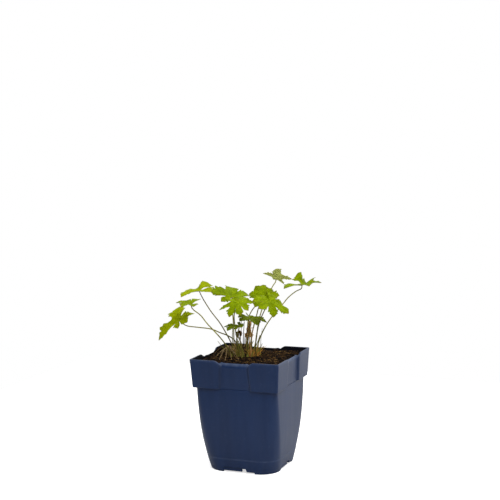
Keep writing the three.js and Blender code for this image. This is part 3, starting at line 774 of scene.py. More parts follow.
def pot_material():
    """Moulded navy plastic: faint flow streaks, a little dust, pale worn edges round the rim that are partly
    a painted highlight, and painted shade on the recess shoulders.
    """
    made = new_material("navy_plastic", *POT_LOOK)
    tree = made.tree
    colour = mottled(tree, NAVY, NAVY_DEEP, **POT_FLOW)
    # Painted shade: the navy is darkened on the recess shoulders, where shade falls
    colour = blended(tree, attribute_of(tree, "crease"), colour, NAVY_PAINTED_SHADE)
    streak = placed(tree, MOTTLE, **POT_STREAKS)["Patch"]
    speck = stretched(tree, noise_of(tree, object_place(tree), *SPECK_NOISE), *SPECK_LIMITS)
    patchy = stretched(tree, noise_of(tree, object_place(tree), *RUBBED_AND_HIGHLIGHT_NOISE), *RUBBED_AND_HIGHLIGHT_LIMITS)
    # The rim and the mould line are paled: partly worn, partly a painted highlight
    rubbed_and_highlit = worked(tree, "MULTIPLY", attribute_of(tree, "wear_and_highlight"), patchy)
    share = added_up(tree, 0.0, (streak, STREAK_SHARE), (speck, SPECK_SHARE), (rubbed_and_highlit, RUBBED_AND_HIGHLIGHT_SHARE))
    share = worked(tree, "MINIMUM", share, 1.0)
    rough = added_up(tree, CLEAN_ROUGHNESS, (streak, STREAK_ROUGHNESS), (share, WORN_ROUGHNESS))
    tree.links.new(rough, made.shader.inputs["Roughness"])
    return finished(made, blended(tree, share, colour, SCUFF_AND_HIGHLIGHT), grain(tree, **POT_GRAIN), *POT_BUMP)


def pot_inside_painted_shade_material():
    """The inside of the pot: dull and dusty with soil, and painted near-black as the shade that falls inside
    it.
    """
    made = new_material("navy_inside", *INSIDE_LOOK)
    colour = mottled(made.tree, INSIDE_DUST_AND_PAINTED_SHADE, INSIDE_NAVY_PAINTED_SHADE, **INSIDE_PATCHES)
    return finished(made, colour, grain(made.tree, **INSIDE_GRAIN), INSIDE_BUMP)


def soil_material(name, light, dark, tinted):
    """Peaty soil: nearly black, with brown crumbs."""
    made = new_material(name, *SOIL_LOOK)
    tree = made.tree
    colour = mottled(tree, light, dark, scale=SOIL_PATCH_SCALE)
    if tinted:
        share = worked(tree, "POWER", attribute_of(tree, "tint"), CRUMB_TINT_POWER)
        colour = blended(tree, share, colour, light)
    return finished(made, colour, grain(tree, **SOIL_GRAIN), SOIL_BUMP)


def leaf_material(finish):
    """A leaf blade: mottled green, pale veins, a paler underside and browned edges."""
    light, dark, under, browning = LEAF_FINISHES[finish]
    made = new_material("leaf_" + finish, *LEAF_LOOK)
    tree = made.tree
    colour = mottled(tree, light, dark, **LEAF_PATCHES)
    cells = add(tree, "ShaderNodeTexVoronoi", {"Vector": object_place(tree), "Scale": CELL_SCALE},
                feature="DISTANCE_TO_EDGE").outputs["Distance"]
    net = stretched(tree, cells, *NET_LIMITS)
    vein = worked(tree, "MULTIPLY", attribute_of(tree, "vein"), VEIN_SHARE)
    colour = blended(tree, worked(tree, "MAXIMUM", vein, net), colour, VEIN_PALE)
    below = worked(tree, "MULTIPLY", attribute_of(tree, "under"), UNDER_SHARE)
    colour = blended(tree, below, colour, under)
    patch = stretched(tree, noise_of(tree, object_place(tree), BROWN_SCALE), *BROWN_LIMITS)
    edge = worked(tree, "MULTIPLY", attribute_of(tree, "edge"), patch)
    brown = added_up(tree, 0.0, (edge, browning), (attribute_of(tree, "tip"), browning))
    colour = blended(tree, worked(tree, "MINIMUM", brown, BROWN_MOST), colour, LEAF_BROWN)
    height = added_up(tree, grain(tree, **LEAF_GRAIN), (cells, CELL_HEIGHT))
    return finished(made, colour, height, *LEAF_BUMP)


def stem_material(name, light, dark, look=STEM_LOOK):
    """Stems, sheaths and dead matter: streaks that run up, and a tint for each strand."""
    roughness, specular, streaks = look
    made = new_material(name, roughness, specular)
    tree = made.tree
    colour = mottled(tree, light, dark, stretch=streaks, **STEM_PATCHES)
    colour = blended(tree, attribute_of(tree, "tint"), colour, dark)
    return finished(made, colour, grain(tree, stretch=streaks, **STEM_GRAIN), *STEM_BUMP)


def floor_material():
    """Plain white paper, which looks as bright as the surroundings."""
    material, tree, shader = new_material("studio_floor", *FLOOR_LOOK)
    shader.inputs["Base Color"].default_value = FLOOR_COLOUR
    shader.inputs["Emission Color"].default_value = FLOOR_GLOW
    seen = add(tree, "ShaderNodeLightPath").outputs["Is Camera Ray"]
    tree.links.new(seen, shader.inputs["Emission Strength"])
    return material


# Geometry trees
def new_geometry_tree(name, numbers, whole_number):
    """A tree with a mesh to start from, named numbers, the last one a whole one, and a material."""
    tree = bpy.data.node_groups.new(name, "GeometryNodeTree")
    inputs = [("Geometry", "NodeSocketGeometry"), *((label, FLOAT) for label in numbers),
              (whole_number, "NodeSocketInt"), ("Material", "NodeSocketMaterial")]
    for label, kind in inputs:
        tree.interface.new_socket(label, in_out="INPUT", socket_type=kind)
    tree.interface.new_socket("Geometry", in_out="OUTPUT", socket_type="NodeSocketGeometry")
    return tree, tree.nodes.new("NodeGroupInput").outputs


def finish_tree(tree, geometry, material):
    real = add(tree, "GeometryNodeRealizeInstances", {"Geometry": geometry}).outputs[0]
    shaded = add(tree, "GeometryNodeSetShadeSmooth", {"Geometry": real, "Shade Smooth": True}).outputs[0]
    dressed = add(tree, "GeometryNodeSetMaterial", {"Geometry": shaded, "Material": material})
    add(tree, "NodeGroupOutput", {0: dressed.outputs[0]})
    return tree


def chance(tree, low, high, seed):
    """A random number, or a random vector where the limits are vectors."""
    kind, first, result = ("FLOAT_VECTOR", 0, 0) if isinstance(low, tuple) else ("FLOAT", 2, 1)
    inputs = {first: low, first + 1: high, "Seed": seed}
    return add(tree, "FunctionNodeRandomValue", inputs, data_type=kind).outputs[result]


def spots_on(tree, given):
    """Places scattered over the mesh that the tree starts from."""
    return add(tree, "GeometryNodeDistributePointsOnFaces", {
        "Mesh": given["Geometry"], "Density": given["Density"], "Seed": given["Seed"]}).outputs


def copies_at(tree, spots, thing, turn, scale):
    return add(tree, "GeometryNodeInstanceOnPoints", {
        "Points": spots["Points"], "Instance": thing, "Rotation": turn, "Scale": scale}).outputs[0]


def with_tints(tree, given, copies):
    """Copies that each carry a random tint."""
    inputs = {"Geometry": copies, "Name": "tint", "Value": chance(tree, 0.0, 1.0, given["Seed"])}
    return add(tree, "GeometryNodeStoreNamedAttribute", inputs, domain="INSTANCE").outputs[0]


def tube(tree, path, sides, radius):
    """A round skin with closed ends along each path."""
    ring = add(tree, "GeometryNodeCurvePrimitiveCircle", {"Resolution": sides, "Radius": 1.0}).outputs[0]
    return add(tree, "GeometryNodeCurveToMesh", {
        "Curve": path, "Profile Curve": ring, "Scale": radius, "Fill Caps": True}).outputs[0]


def tube_tree():
    """A round stem along each path; the radius comes with the path's points."""
    tree, given = new_geometry_tree("stem_along_path", (), "Sides")
    path = add(tree, "GeometryNodeMeshToCurve", {"Mesh": given["Geometry"]}).outputs[0]
    radius = add(tree, "GeometryNodeInputNamedAttribute", {"Name": "radius"}).outputs["Attribute"]
    return finish_tree(tree, tube(tree, path, given["Sides"], radius), given["Material"])


def crumb_tree():
    """Crumbs scattered over the soil, each turned and sized by chance."""
    tree, given = new_geometry_tree("crumbs_on_soil", ("Density", "Smallest", "Largest"), "Seed")
    crumb = add(tree, "GeometryNodeMeshIcoSphere", {"Radius": 1.0, "Subdivisions": 1}).outputs["Mesh"]
    shape = chance(tree, *CRUMB_SHAPES, given["Seed"])
    size = chance(tree, given["Smallest"], given["Largest"], given["Seed"])
    turn = chance(tree, (0.0, 0.0, 0.0), (math.tau, math.tau, math.tau), given["Seed"])
    lying = copies_at(tree, spots_on(tree, given), crumb, turn, scaled(tree, shape, size))
    return finish_tree(tree, with_tints(tree, given, lying), given["Material"])


def fibre_tree():
    """Fibres and roots that lie on the soil, bent by chance."""
    tree, given = new_geometry_tree(
        "fibres_on_soil", ("Density", "Shortest", "Longest", "Radius", "Wander", "Wave"), "Seed")
    line = add(tree, "GeometryNodeCurvePrimitiveLine", {"Start": (-0.5, 0.0, 0.0), "End": (0.5, 0.0, 0.0)})
    fine = add(tree, "GeometryNodeResampleCurve", {"Curve": line.outputs[0], "Count": FIBRE_POINTS})
    length = chance(tree, given["Shortest"], given["Longest"], given["Seed"])
    turn = chance(tree, (0.0, -FIBRE_TILT, 0.0), (0.0, FIBRE_TILT, math.tau), given["Seed"])
    lying = copies_at(tree, spots_on(tree, given), fine.outputs[0], turn, length)
    real = add(tree, "GeometryNodeRealizeInstances", {"Geometry": with_tints(tree, given, lying)})
    wave = add(tree, "ShaderNodeTexNoise", {"Scale": given["Wave"], "Detail": 1.0}).outputs["Color"]
    centred = vectors(tree, "SUBTRACT", wave, (NOISE_MIDDLE, NOISE_MIDDLE, NOISE_MIDDLE))
    offset = scaled(tree, vectors(tree, "MULTIPLY", centred, FIBRE_FREEDOM), given["Wander"])
    wavy = add(tree, "GeometryNodeSetPosition", {"Geometry": real.outputs[0], "Offset": offset})
    stem = tube(tree, wavy.outputs[0], FIBRE_SIDES, given["Radius"])
    return finish_tree(tree, stem, given["Material"])


def hair_tree():
    """Short hairs on a stem or a leaf, leaning by chance, joined to what they grow on."""
    tree, given = new_geometry_tree("short_hairs", ("Density", "Shortest", "Longest", "Radius"), "Seed")
    spots = spots_on(tree, given)
    hair = add(tree, "GeometryNodeMeshCone", {
        "Vertices": HAIR_SIDES, "Radius Top": 0.0, "Radius Bottom": given["Radius"], "Depth": 1.0},
        fill_type="NONE").outputs["Mesh"]
    lean = chance(tree, (-HAIR_LEAN, -HAIR_LEAN, 0.0), (HAIR_LEAN, HAIR_LEAN, math.tau), given["Seed"])
    turn = add(tree, "FunctionNodeRotateRotation", {
        "Rotation": spots["Rotation"], "Rotate By": lean}, rotation_space="LOCAL").outputs[0]
    tall = chance(tree, given["Shortest"], given["Longest"], given["Seed"])
    scale = add(tree, "ShaderNodeCombineXYZ", {"X": 1.0, "Y": 1.0, "Z": tall}).outputs[0]
    both = add(tree, "GeometryNodeJoinGeometry")
    for part in (copies_at(tree, spots, hair, turn, scale), given["Geometry"]):
        tree.links.new(part, both.inputs[0])
    return finish_tree(tree, both.outputs[0], given["Material"])


# Camera, floor and lights
def set_camera():
    forward = Vector(CAMERA_FORWARD).normalized()
    right = Vector(CAMERA_RIGHT).normalized()
    turn = Matrix((right, right.cross(forward), -forward)).transposed().to_4x4()
    camera = in_scene("camera", bpy.data.cameras.new("camera"))
    camera.matrix_world = Matrix.Translation(Vector(CAMERA_PLACE) * MM) @ turn
    camera.data.lens = CAMERA_LENS
    camera.data.sensor_width = CAMERA_SENSOR
    camera.data.clip_start = CAMERA_NEAR * MM
    bpy.context.scene.camera = camera


def set_floor():
    half = FLOOR_HALF
    corners = [(-half, -half, 0), (half, -half, 0), (half, half, 0), (-half, half, 0)]
    mesh = mesh_from("floor", corners, [(0, 1, 2, 3)])
    mesh.materials.append(floor_material())
    in_scene("floor", mesh)


def soft_light(name, place, size, power):
    data = bpy.data.lights.new(name, "AREA")
    data.shape = "DISK"
    data.size = size * MM
    data.energy = power
    light = in_scene(name, data)
    light.visible_glossy = False
    position = Vector(place) * MM
    aim = Vector((0, 0, SOIL_LEVEL * MM)) - position
    light.matrix_world = Matrix.Translation(position) @ aim.to_track_quat("-Z", "Y").to_matrix().to_4x4()


def set_surroundings():
    """White all round for the camera; as light it is bright on one side, and dim on the other."""
    world = bpy.data.worlds.new("studio")
    bpy.context.scene.world = world
    world.use_nodes = True
    tree = world.node_tree
    backdrop = tree.nodes["Background"]
    direction = add(tree, "ShaderNodeTexCoord").outputs["Generated"]
    toward = add(tree, "ShaderNodeVectorMath", {0: direction, 1: BRIGHT_DIRECTION},
                 operation="DOT_PRODUCT").outputs["Value"]
    light = stretched(tree, toward, DIM_UNDER, BRIGHT_OVER, DIM_LEVEL, BRIGHT_LEVEL)
    seen = add(tree, "ShaderNodeLightPath").outputs["Is Camera Ray"]
    strength = add(tree, "ShaderNodeMix", {0: seen, 2: light, 3: 1.0}).outputs[0]
    tree.links.new(strength, backdrop.inputs["Strength"])
    backdrop.inputs["Color"].default_value = (1, 1, 1, 1)


# Pot
def body_half(z):
    return BODY_TOP_HALF - (BODY_TOP_HALF - BODY_FOOT_HALF) * max(1 - z / BAND_FOOT, 0) ** BODY_CURVE


def body_radius(z):
    return mix(BODY_TOP_RADIUS, BODY_FOOT_RADIUS, max(1 - z / BAND_FOOT, 0) ** RADIUS_CURVE)


def outline(corners):
    """Points round a closed outline. A corner is its place, how far before and after it the
    rounding starts, the steps of the rounding, and the points that fill the straight after it."""
    points = []
    count = len(corners)
    for i, (corner, cut, steps, fill) in enumerate(corners):
        following, next_cut = corners[(i + 1) % count][:2]
        before = (corners[i - 1][0] - corner).normalized()
        after = (following - corner).normalized()
        weight = math.sqrt(max(0.0, (1 - before.dot(after)) / 2))
        for s in range(steps + 1):
            t = s / steps
            a, b, c = (1 - t) ** 2, 2 * weight * t * (1 - t), t * t
            point = (corner + before * cut) * a + corner * b + (corner + after * cut) * c
            points.append(point / (a + b + c))
        start = corner + after * cut
        end = following - after * next_cut
        points.extend(start.lerp(end, s / (fill + 1)) for s in range(1, fill + 1))
    return points


def square_ring(half, corner, outer, inner, inner_half, cut):
    """A square outline with rounded corners and a recess in the middle of each side."""
    one_side = (
        (-half, half, corner, CORNER_STEPS, EDGE_FILL), (-outer, half, cut, EDGE_STEPS, 1),
        (-inner, inner_half, cut, EDGE_STEPS, EDGE_FILL), (inner, inner_half, cut, EDGE_STEPS, 1),
        (outer, half, cut, EDGE_STEPS, EDGE_FILL),
    )
    corners = []
    for side in range(4):
        turn = Matrix.Rotation(side * math.pi / 2, 2)
        for along, out, *rest in one_side:
            corners.append((turn @ Vector((along, -out)), *rest))
    return outline(corners)


def body_ring(z, inset):
    half = body_half(z) - inset
    radius = max(body_radius(z) - inset, LEAST_BODY_RADIUS)
    flat = (half - radius) / (BODY_TOP_HALF - BODY_TOP_RADIUS)
    outer = (RECESS_FOOT_REACH + RECESS_SLANT) * flat
    inner = RECESS_FOOT_REACH * flat
    return square_ring(half, radius, outer, inner, half, (outer - inner) / 3)


def band_ring(height, inset):
    """One ring of the band; height goes from 0 at its foot to 1 at its top."""
    half = mix(RIM_HALF - BAND_DRAFT, RIM_HALF, height) - inset
    recess_half = mix(BODY_TOP_HALF, RECESS_TOP_HALF, height) - inset
    reach = mix(RECESS_FOOT_REACH, RECESS_TOP_REACH, height) + inset
    corner = max(BAND_CORNER - inset, LEAST_BAND_RADIUS)
    return square_ring(half, corner, reach + RECESS_SLANT, reach, recess_half, RECESS_CORNER)


def rim_height(point):
    """The top of the wall at a place: it dips over the middle of each side."""
    along, out = sorted((abs(point.x), abs(point.y)))
    fall = 1 - smooth((along - DIP_FLAT) / (DIP_END - DIP_FLAT))
    inner_face = RECESS_TOP_HALF - WALL
    share = min(max((out - inner_face) / WALL, 0), 1)
    return POT_HEIGHT - mix(DIP_INNER, DIP_OUTER, share) * fall


def wall_ring(inset, low, share, drop):
    """A ring of the band's wall, a share of the way from a height to a drop below the rim."""
    ring = []
    for a, b in zip(band_ring(0, inset), band_ring(1, inset)):
        z = mix(low, rim_height(b) - drop, share)
        at = a.lerp(b, (z - BAND_FOOT) / BAND_HEIGHT)
        ring.append((at.x, at.y, z))
    return ring


def flat_ring(points, z):
    return [(p.x, p.y, z) for p in points]


def level_ring(z, inset=0):
    """A ring of the body at its own height; over the band's foot it keeps the shape it has there."""
    return flat_ring(body_ring(min(z, BAND_FOOT), inset), z)


def round_ring(points, radius, z):
    return [(*(p.normalized() * radius), z) for p in points]


def body_heights(low, high, rows):
    return [mix(low, high, (i / rows) ** ROW_CROWDING) for i in range(rows + 1)]


def underside_rings(under):
    """From the foot of the hub, up it, and out under the floor to the foot of the wall."""
    rings = [round_ring(under, HUB_RADIUS, 0), round_ring(under, HUB_RADIUS, FLOOR_UNDER)]
    for i in range(1, FLOOR_ROWS):
        rings.append([
            (*(p.normalized() * HUB_RADIUS).lerp(p, i / FLOOR_ROWS), FLOOR_UNDER) for p in under])
    return [*rings, flat_ring(under, FLOOR_UNDER), level_ring(0, FOOT_WALL)]


def outer_body_rings():
    """Up the outside of the body, with the small step at the mould line that fades out above it."""
    rings = [flat_ring(body_ring(0, SOFT_EDGE), 0), level_ring(SOFT_EDGE)]
    heights = body_heights(SOFT_EDGE, BAND_FOOT, BODY_ROWS)[1:-1]
    rings.extend(level_ring(z) for z in heights if z < MOULD_LINE - MOULD_CLEAR)
    rings.append(level_ring(MOULD_LINE))
    rings.append(level_ring(MOULD_LINE + MOULD_STEP, MOULD_STEP))
    for z in heights:
        if z > MOULD_LINE + MOULD_CLEAR:
            rings.append(level_ring(z, MOULD_STEP * smooth((MOULD_LINE + MOULD_FADE - z) / MOULD_FADE)))
    rings.append(flat_ring(body_ring(BAND_FOOT, 0), BAND_FOOT - SOFT_EDGE / 2))
    return rings


def pot_rings():
    """The whole skin of the pot: underside, outside, rim, and down the inside to the floor."""
    under = body_ring(FLOOR_UNDER, FOOT_WALL)
    rings = [*underside_rings(under), *outer_body_rings(), flat_ring(band_ring(0, SOFT_EDGE), BAND_FOOT)]
    for i in range(BAND_ROWS):
        rings.append(wall_ring(0, BAND_FOOT + SOFT_EDGE, i / BAND_ROWS, RIM_PROFILE[0][1]))
    rings.extend(wall_ring(inset, 0, 1, drop) for inset, drop in RIM_PROFILE)
    for i in range(1, INNER_ROWS + 1):
        rings.append(wall_ring(WALL, BAND_FOOT + WALL, 1 - i / INNER_ROWS, RIM_PROFILE[-1][1]))
    floor_top = FLOOR_UNDER + FLOOR_THICKNESS
    heights = body_heights(floor_top, BAND_FOOT + WALL, INNER_ROWS)
    rings.extend(level_ring(z, WALL) for z in reversed(heights))
    rings.append(round_ring(under, HUB_RADIUS, floor_top))
    return rings


BOX_FACES = ((0, 2, 3, 1), (4, 5, 7, 6), (0, 1, 5, 4), (1, 3, 7, 5), (3, 2, 6, 7), (2, 0, 4, 6))


def joined_mesh(name, parts):
    points, faces = [], []
    for part_points, part_faces in parts:
        start = len(points)
        points.extend(part_points)
        faces.extend(tuple(start + i for i in face) for face in part_faces)
    return tidied(mesh_from(name, points, faces))


def on_each_side(x0, x1, y0, y1, z0, z1, lean=0):
    """A box cut into each of the four sides, whose right edge may lean in towards its top."""
    points = [(x - lean if (x, z) == (x1, z1) else x, y, z)
              for z in (z0, z1) for y in (y0, y1) for x in (x0, x1)]
    turns = [Matrix.Rotation(side * math.pi / 2, 3, "Z") for side in range(4)]
    return [([turn @ Vector(p) for p in points], BOX_FACES) for turn in turns]


def foot_cutter():
    """The raised middle of each foot edge, and the drain holes."""
    parts = on_each_side(
        -RAISED_EDGE_HALF, RAISED_EDGE_HALF, CUT_OUTSIDE, CUT_INSIDE, -OVERCUT, RAISED_EDGE)
    angles = [math.tau * i / DRAIN_SIDES for i in range(DRAIN_SIDES)]
    for x, y in [(x, y) for x in (-1, 0, 1) for y in (-1, 0, 1) if x or y]:
        parts.append(ring_grid([
            [(x * DRAIN_SPACING + DRAIN_RADIUS * math.cos(a),
              y * DRAIN_SPACING + DRAIN_RADIUS * math.sin(a), z) for a in angles]
            for z in (FLOOR_UNDER - OVERCUT, FLOOR_UNDER + FLOOR_THICKNESS + OVERCUT)]))
    return joined_mesh("foot_cutter", parts)


def notch_cutter():
    """The drain notches, which widen a little towards the ground."""
    low, high = NOTCH_OFFSET - NOTCH_WIDTH / 2, NOTCH_OFFSET + (NOTCH_WIDTH + NOTCH_SLOPE) / 2
    return joined_mesh("notch_cutter", on_each_side(
        low, high, CUT_OUTSIDE, CUT_INSIDE, -OVERCUT, NOTCH_HEIGHT, NOTCH_SLOPE))


def panel_cutter():
    """The shallow sunk panel beside each drain notch."""
    left = -RAISED_EDGE_HALF + PANEL_EDGE
    right = NOTCH_OFFSET - NOTCH_WIDTH / 2 + PANEL_EDGE
    return joined_mesh("panel_cutter", on_each_side(
        left, right, -BODY_TOP_HALF, -BODY_FOOT_HALF, -OVERCUT, PANEL_HEIGHT))


def wear_and_highlight_places(mesh):
    """How worn each point of the pot is, and how much painted highlight it gets where edges catch the light:
    the rim and its sloped dips most, then the mould line.
    """
    values = []
    for vertex in mesh.vertices:
        point = vertex.co / MM
        top = rim_height(point)
        along, out = sorted((abs(point.x), abs(point.y)))
        near_top = 1 - smooth((top - point.z) / RIM_WEAR_AND_HIGHLIGHT_DEPTH)
        in_dip = 1 - smooth((along - DIP_FLAT) / (DIP_END - DIP_FLAT))
        on_wall = smooth((out - BODY_TOP_HALF + WALL) / WALL)
        near_line = 1 - smooth(abs(point.z - MOULD_LINE) / MOULD_LINE_REACH)
        rim_wear_and_highlight = near_top * on_wall * mix(RIM_WEAR_AND_HIGHLIGHT_LEAST, 1.0, in_dip)
        values.append(max(rim_wear_and_highlight, near_line * MOULD_LINE_WEAR_AND_HIGHLIGHT))
    return values


def painted_shade_places(mesh):
    """How much painted shade each point gets: most on the slanted shoulders of the recesses, where shade
    falls.
    """
    values = []
    for vertex in mesh.vertices:
        point = vertex.co / MM
        along = min(abs(point.x), abs(point.y))
        share = (point.z - BAND_FOOT) / BAND_HEIGHT
        middle = mix(RECESS_FOOT_REACH, RECESS_TOP_REACH, share) + RECESS_SLANT / 2
        on_band = 1.0 if point.z > BAND_FOOT else 0.0
        values.append(PAINTED_SHADE_STRENGTH * on_band * (1 - smooth(abs(along - middle) / (2 * PAINTED_SHADE_HALF))))
    return values


def faces_soil(polygon):
    level = Vector((polygon.center.x, polygon.center.y, 0)).normalized()
    return polygon.normal.dot(level) < -INNER_TURN and polygon.center.z > FLOOR_UNDER * MM


def make_pot(material, inside_material):
    points, faces = ring_grid(pot_rings())
    mesh = tidied(mesh_from("pot_shell", points, faces))
    for cutter in (foot_cutter(), notch_cutter(), panel_cutter()):
        mesh = cut_by(mesh, cutter)
    mesh.name = "pot_shell"
    mesh.materials.clear()
    mesh.materials.append(material)
    mesh.materials.append(inside_material)
    smoothed(mesh, POT_SHARP_ANGLE)
    for polygon in mesh.polygons:
        # The faces that look in towards the soil get the painted-shade material
        polygon.material_index = 1 if faces_soil(polygon) else 0
    store(mesh, "wear_and_highlight", wear_and_highlight_places(mesh))
    store(mesh, "crease", painted_shade_places(mesh))
    piece("pot_shell", mesh, "pot", "pot")


# Soil
def soil_height(x, y):
    mound = SOIL_MOUND * math.exp(-(x * x + y * y) / SOIL_MOUND_REACH ** 2)
    square = math.sin(x * SHORT_WAVE + WAVE_PHASES[0]) * math.cos(y * LONG_WAVE)
    slanted = math.sin(x * CROSS_WAVE[0] + y * CROSS_WAVE[1] + WAVE_PHASES[1])
    return SOIL_LEVEL + mound + SOIL_LUMP * (square + slanted) / 2


def rough_soil_height(x, y):
    """The ground with its lumps. It has shrunk a little from the wall, and is heaped on the left."""
    rough = sum(height * lumps((x, y, 0), size, size) for size, height in SOIL_ROUGHNESS)
    outward = max(abs(x), abs(y)) / RIM_HALF
    shrunk = SOIL_EDGE_DROP * smooth((outward - SOIL_EDGE_START) / (1 - SOIL_EDGE_START))
    from_heap = (Vector((x, y)) - Vector(SOIL_HEAP)).length / SOIL_HEAP_REACH
    heaped = SOIL_HEAP_HEIGHT * math.exp(-from_heap ** 2)
    return soil_height(x, y) + rough - shrunk + heaped


def soil_top_rings():
    share = (SOIL_LEVEL - BAND_FOOT) / BAND_HEIGHT
    edge = band_ring(share, SOIL_INSET)
    rings = []
    for row in range(SOIL_ROWS, 0, -1):
        scale = row / SOIL_ROWS
        rings.append([(p.x * scale, p.y * scale, rough_soil_height(p.x * scale, p.y * scale)) for p in edge])
    return rings


def soil_patch(top, free_rows):
    """The top of the soil without its outermost rows."""
    points, faces = ring_grid(top[free_rows:], close_start=False)
    return tidied(mesh_from("soil_patch", points, faces))


def make_soil(material, crumb_material, fibre_material):
    lowest = FLOOR_UNDER + FLOOR_THICKNESS + SOIL_INSET / 2
    rings = [level_ring(z, SOIL_INSET) for z in (lowest, BAND_FOOT / 2, BAND_FOOT)]
    rings.append(flat_ring(band_ring(0, SOIL_INSET), BAND_FOOT + SOIL_INSET))
    top = soil_top_rings()
    points, faces = ring_grid(rings + top)
    mesh = smoothed(tidied(mesh_from("soil_bed", points, faces)), SOIL_SHARP_ANGLE)
    mesh.materials.append(material)
    piece("soil_bed", mesh, "soil", "soil")
    crumbs = grown(soil_patch(top, CRUMB_FREE_ROWS), crumb_tree(), density=CRUMBS_PER_M2,
                   smallest=CRUMB_SIZES[0] * MM, largest=CRUMB_SIZES[1] * MM, seed=CRUMB_SEED,
                   material=crumb_material)
    piece("soil_crumbs", crumbs, "soil")
    fibres = grown(soil_patch(top, FIBRE_FREE_ROWS), fibre_tree(), density=FIBRES_PER_M2,
                   shortest=FIBRE_LENGTHS[0] * MM, longest=FIBRE_LENGTHS[1] * MM,
                   radius=FIBRE_RADIUS * MM, wander=FIBRE_WANDER * MM, wave=FIBRE_WAVE, seed=FIBRE_SEED,
                   material=fibre_material)
    piece("root_fibres", fibres, "straw")


# Stems
def curve_through(points, step):
    """Evenly spaced points on a smooth curve through the given ones."""
    route = [Vector(p) for p in points]
    ends = [2 * route[0] - route[1], *route, 2 * route[-1] - route[-2]]
    found = []
    for p0, p1, p2, p3 in zip(ends, ends[1:], ends[2:], ends[3:]):
        gaps = [max((b - a).length, LEAST_GAP) ** 0.5 for a, b in ((p0, p1), (p1, p2), (p2, p3))]
        leave = ((p1 - p0) / gaps[0] - (p2 - p0) / (gaps[0] + gaps[1]) + (p2 - p1) / gaps[1]) * gaps[1]
        arrive = ((p2 - p1) / gaps[1] - (p3 - p1) / (gaps[1] + gaps[2]) + (p3 - p2) / gaps[2]) * gaps[1]
        steps = max(2, math.ceil((p2 - p1).length / step))
        for s in range(steps):
            t = s / steps
            found.append(
                (2 * t ** 3 - 3 * t ** 2 + 1) * p1 + (t ** 3 - 2 * t ** 2 + t) * leave
                + (3 * t ** 2 - 2 * t ** 3) * p2 + (t ** 3 - t ** 2) * arrive)
    found.append(route[-1])
    return found


def stems_mesh(name, stems, tree, sides, material):
    """One mesh of round stems. A stem is its points, its radius at foot and tip, and its tint."""
    points, edges, radii, tints = [], [], [], []
    for route, foot, tip, tint in stems:
        start = len(points)
        last = len(route) - 1
        points.extend(route)
        edges.extend((start + i, start + i + 1) for i in range(last))
        radii.extend(mix(foot, tip, i / last) * MM for i in range(last + 1))
        tints.extend([tint] * (last + 1))
    mesh = mesh_from(name, points, edges=edges)
    store(mesh, "radius", radii)
    store(mesh, "tint", tints)
    return grown(mesh, tree, sides=sides, material=material)


def haired(mesh, hairs, density, seed, material):
    return grown(mesh, hairs, density=density, shortest=HAIR_LENGTHS[0] * MM,
                 longest=HAIR_LENGTHS[1] * MM, radius=HAIR_RADIUS * MM, seed=seed, material=material)


def leaf_frame(leaf):
    """The blade's own frame: its normal is the mean one of its lobes, the middle lobe is along X."""
    junction = Vector(leaf["junction"])
    ribs = [Vector(tip) - junction for tip in leaf["tips"]]
    normal = sum((one.cross(other) for one, other in zip(ribs, ribs[1:])), Vector()).normalized()
    middle = ribs[len(ribs) // 2]
    along = (middle - normal * middle.dot(normal)).normalized()
    turn = Matrix((along, normal.cross(along), normal)).transposed().to_4x4()
    return Matrix.Translation(junction) @ turn


def petiole_route(leaf):
    frame_of_leaf = leaf_frame(leaf)
    foot = Vector(leaf["petiole"][0]) - Vector((0, 0, PETIOLE_FOOT_DROP))
    bend = frame_of_leaf @ Vector((-JUNCTION_BACK, 0, -JUNCTION_DROP))
    end = frame_of_leaf @ Vector((0, 0, 0))
    return curve_through([foot, *leaf["petiole"], bend, end], PETIOLE_STEP)


def make_petioles(material, stem_tree, hairs):
    draw = random.Random(PETIOLE_SEED)
    for leaf in LEAVES:
        name = "petiole_" + leaf["name"]
        stem = (petiole_route(leaf), PETIOLE_FOOT_RADIUS, PETIOLE_TOP_RADIUS, leaf["stem"])
        mesh = stems_mesh(name, [stem], stem_tree, PETIOLE_SIDES, material)
        mesh = haired(mesh, hairs, PETIOLE_HAIRS_PER_M2, draw.randrange(SEED_LIMIT), material)
        piece("stalk_" + leaf["name"], mesh, "petiole", name)


def upright_route(foot, end, ground, rise):
    bend, share = UPRIGHT_BEND
    return ((foot, ground - STRAND_ROOT), (foot, ground + UPRIGHT_START),
            (foot.lerp(end, bend), ground + rise * share), (end, ground + rise))


def drooping_route(foot, centre, end, outward, ground, rise):
    bend, share = DROOP_BEND
    end_ground = soil_height(end.x, end.y)
    return ((foot, ground + rise - DROOP_STEM), (foot, ground + rise),
            (centre.lerp(end, bend), ground + rise * share), (end, end_ground + DROOP_TOUCH),
            (end + outward * DROOP_TIP_OUT, end_ground - DROOP_TIP_DOWN))


def tuft_stems(tuft):
    draw = random.Random(tuft["seed"])
    centre = Vector(tuft["centre"])
    stems = []
    for i in range(tuft["strands"]):
        angle = math.tau * (i + draw.random()) / tuft["strands"]
        outward = at_angle(angle, 1)
        side = Vector((-outward.y, outward.x)) * draw.uniform(-STRAND_SWAY, STRAND_SWAY)
        foot = centre + outward * draw.uniform(STRAND_INNERMOST, 1) * tuft["core"]
        reach = draw.uniform(*tuft["reach"])
        rise = draw.uniform(*tuft["height"])
        radius = draw.uniform(*tuft["radius"])
        ground = soil_height(foot.x, foot.y)
        if tuft["drooping"]:
            end = centre + outward * reach + side
            places = drooping_route(foot, centre, end, outward, ground, rise)
        else:
            places = upright_route(foot, foot + outward * reach + side, ground, rise)
        route = curve_through([(*at, z) for at, z in places], rise / STRAND_STEPS)
        stems.append((route, radius, radius * STRAND_TIP_SHARE, draw.random()))
    return stems


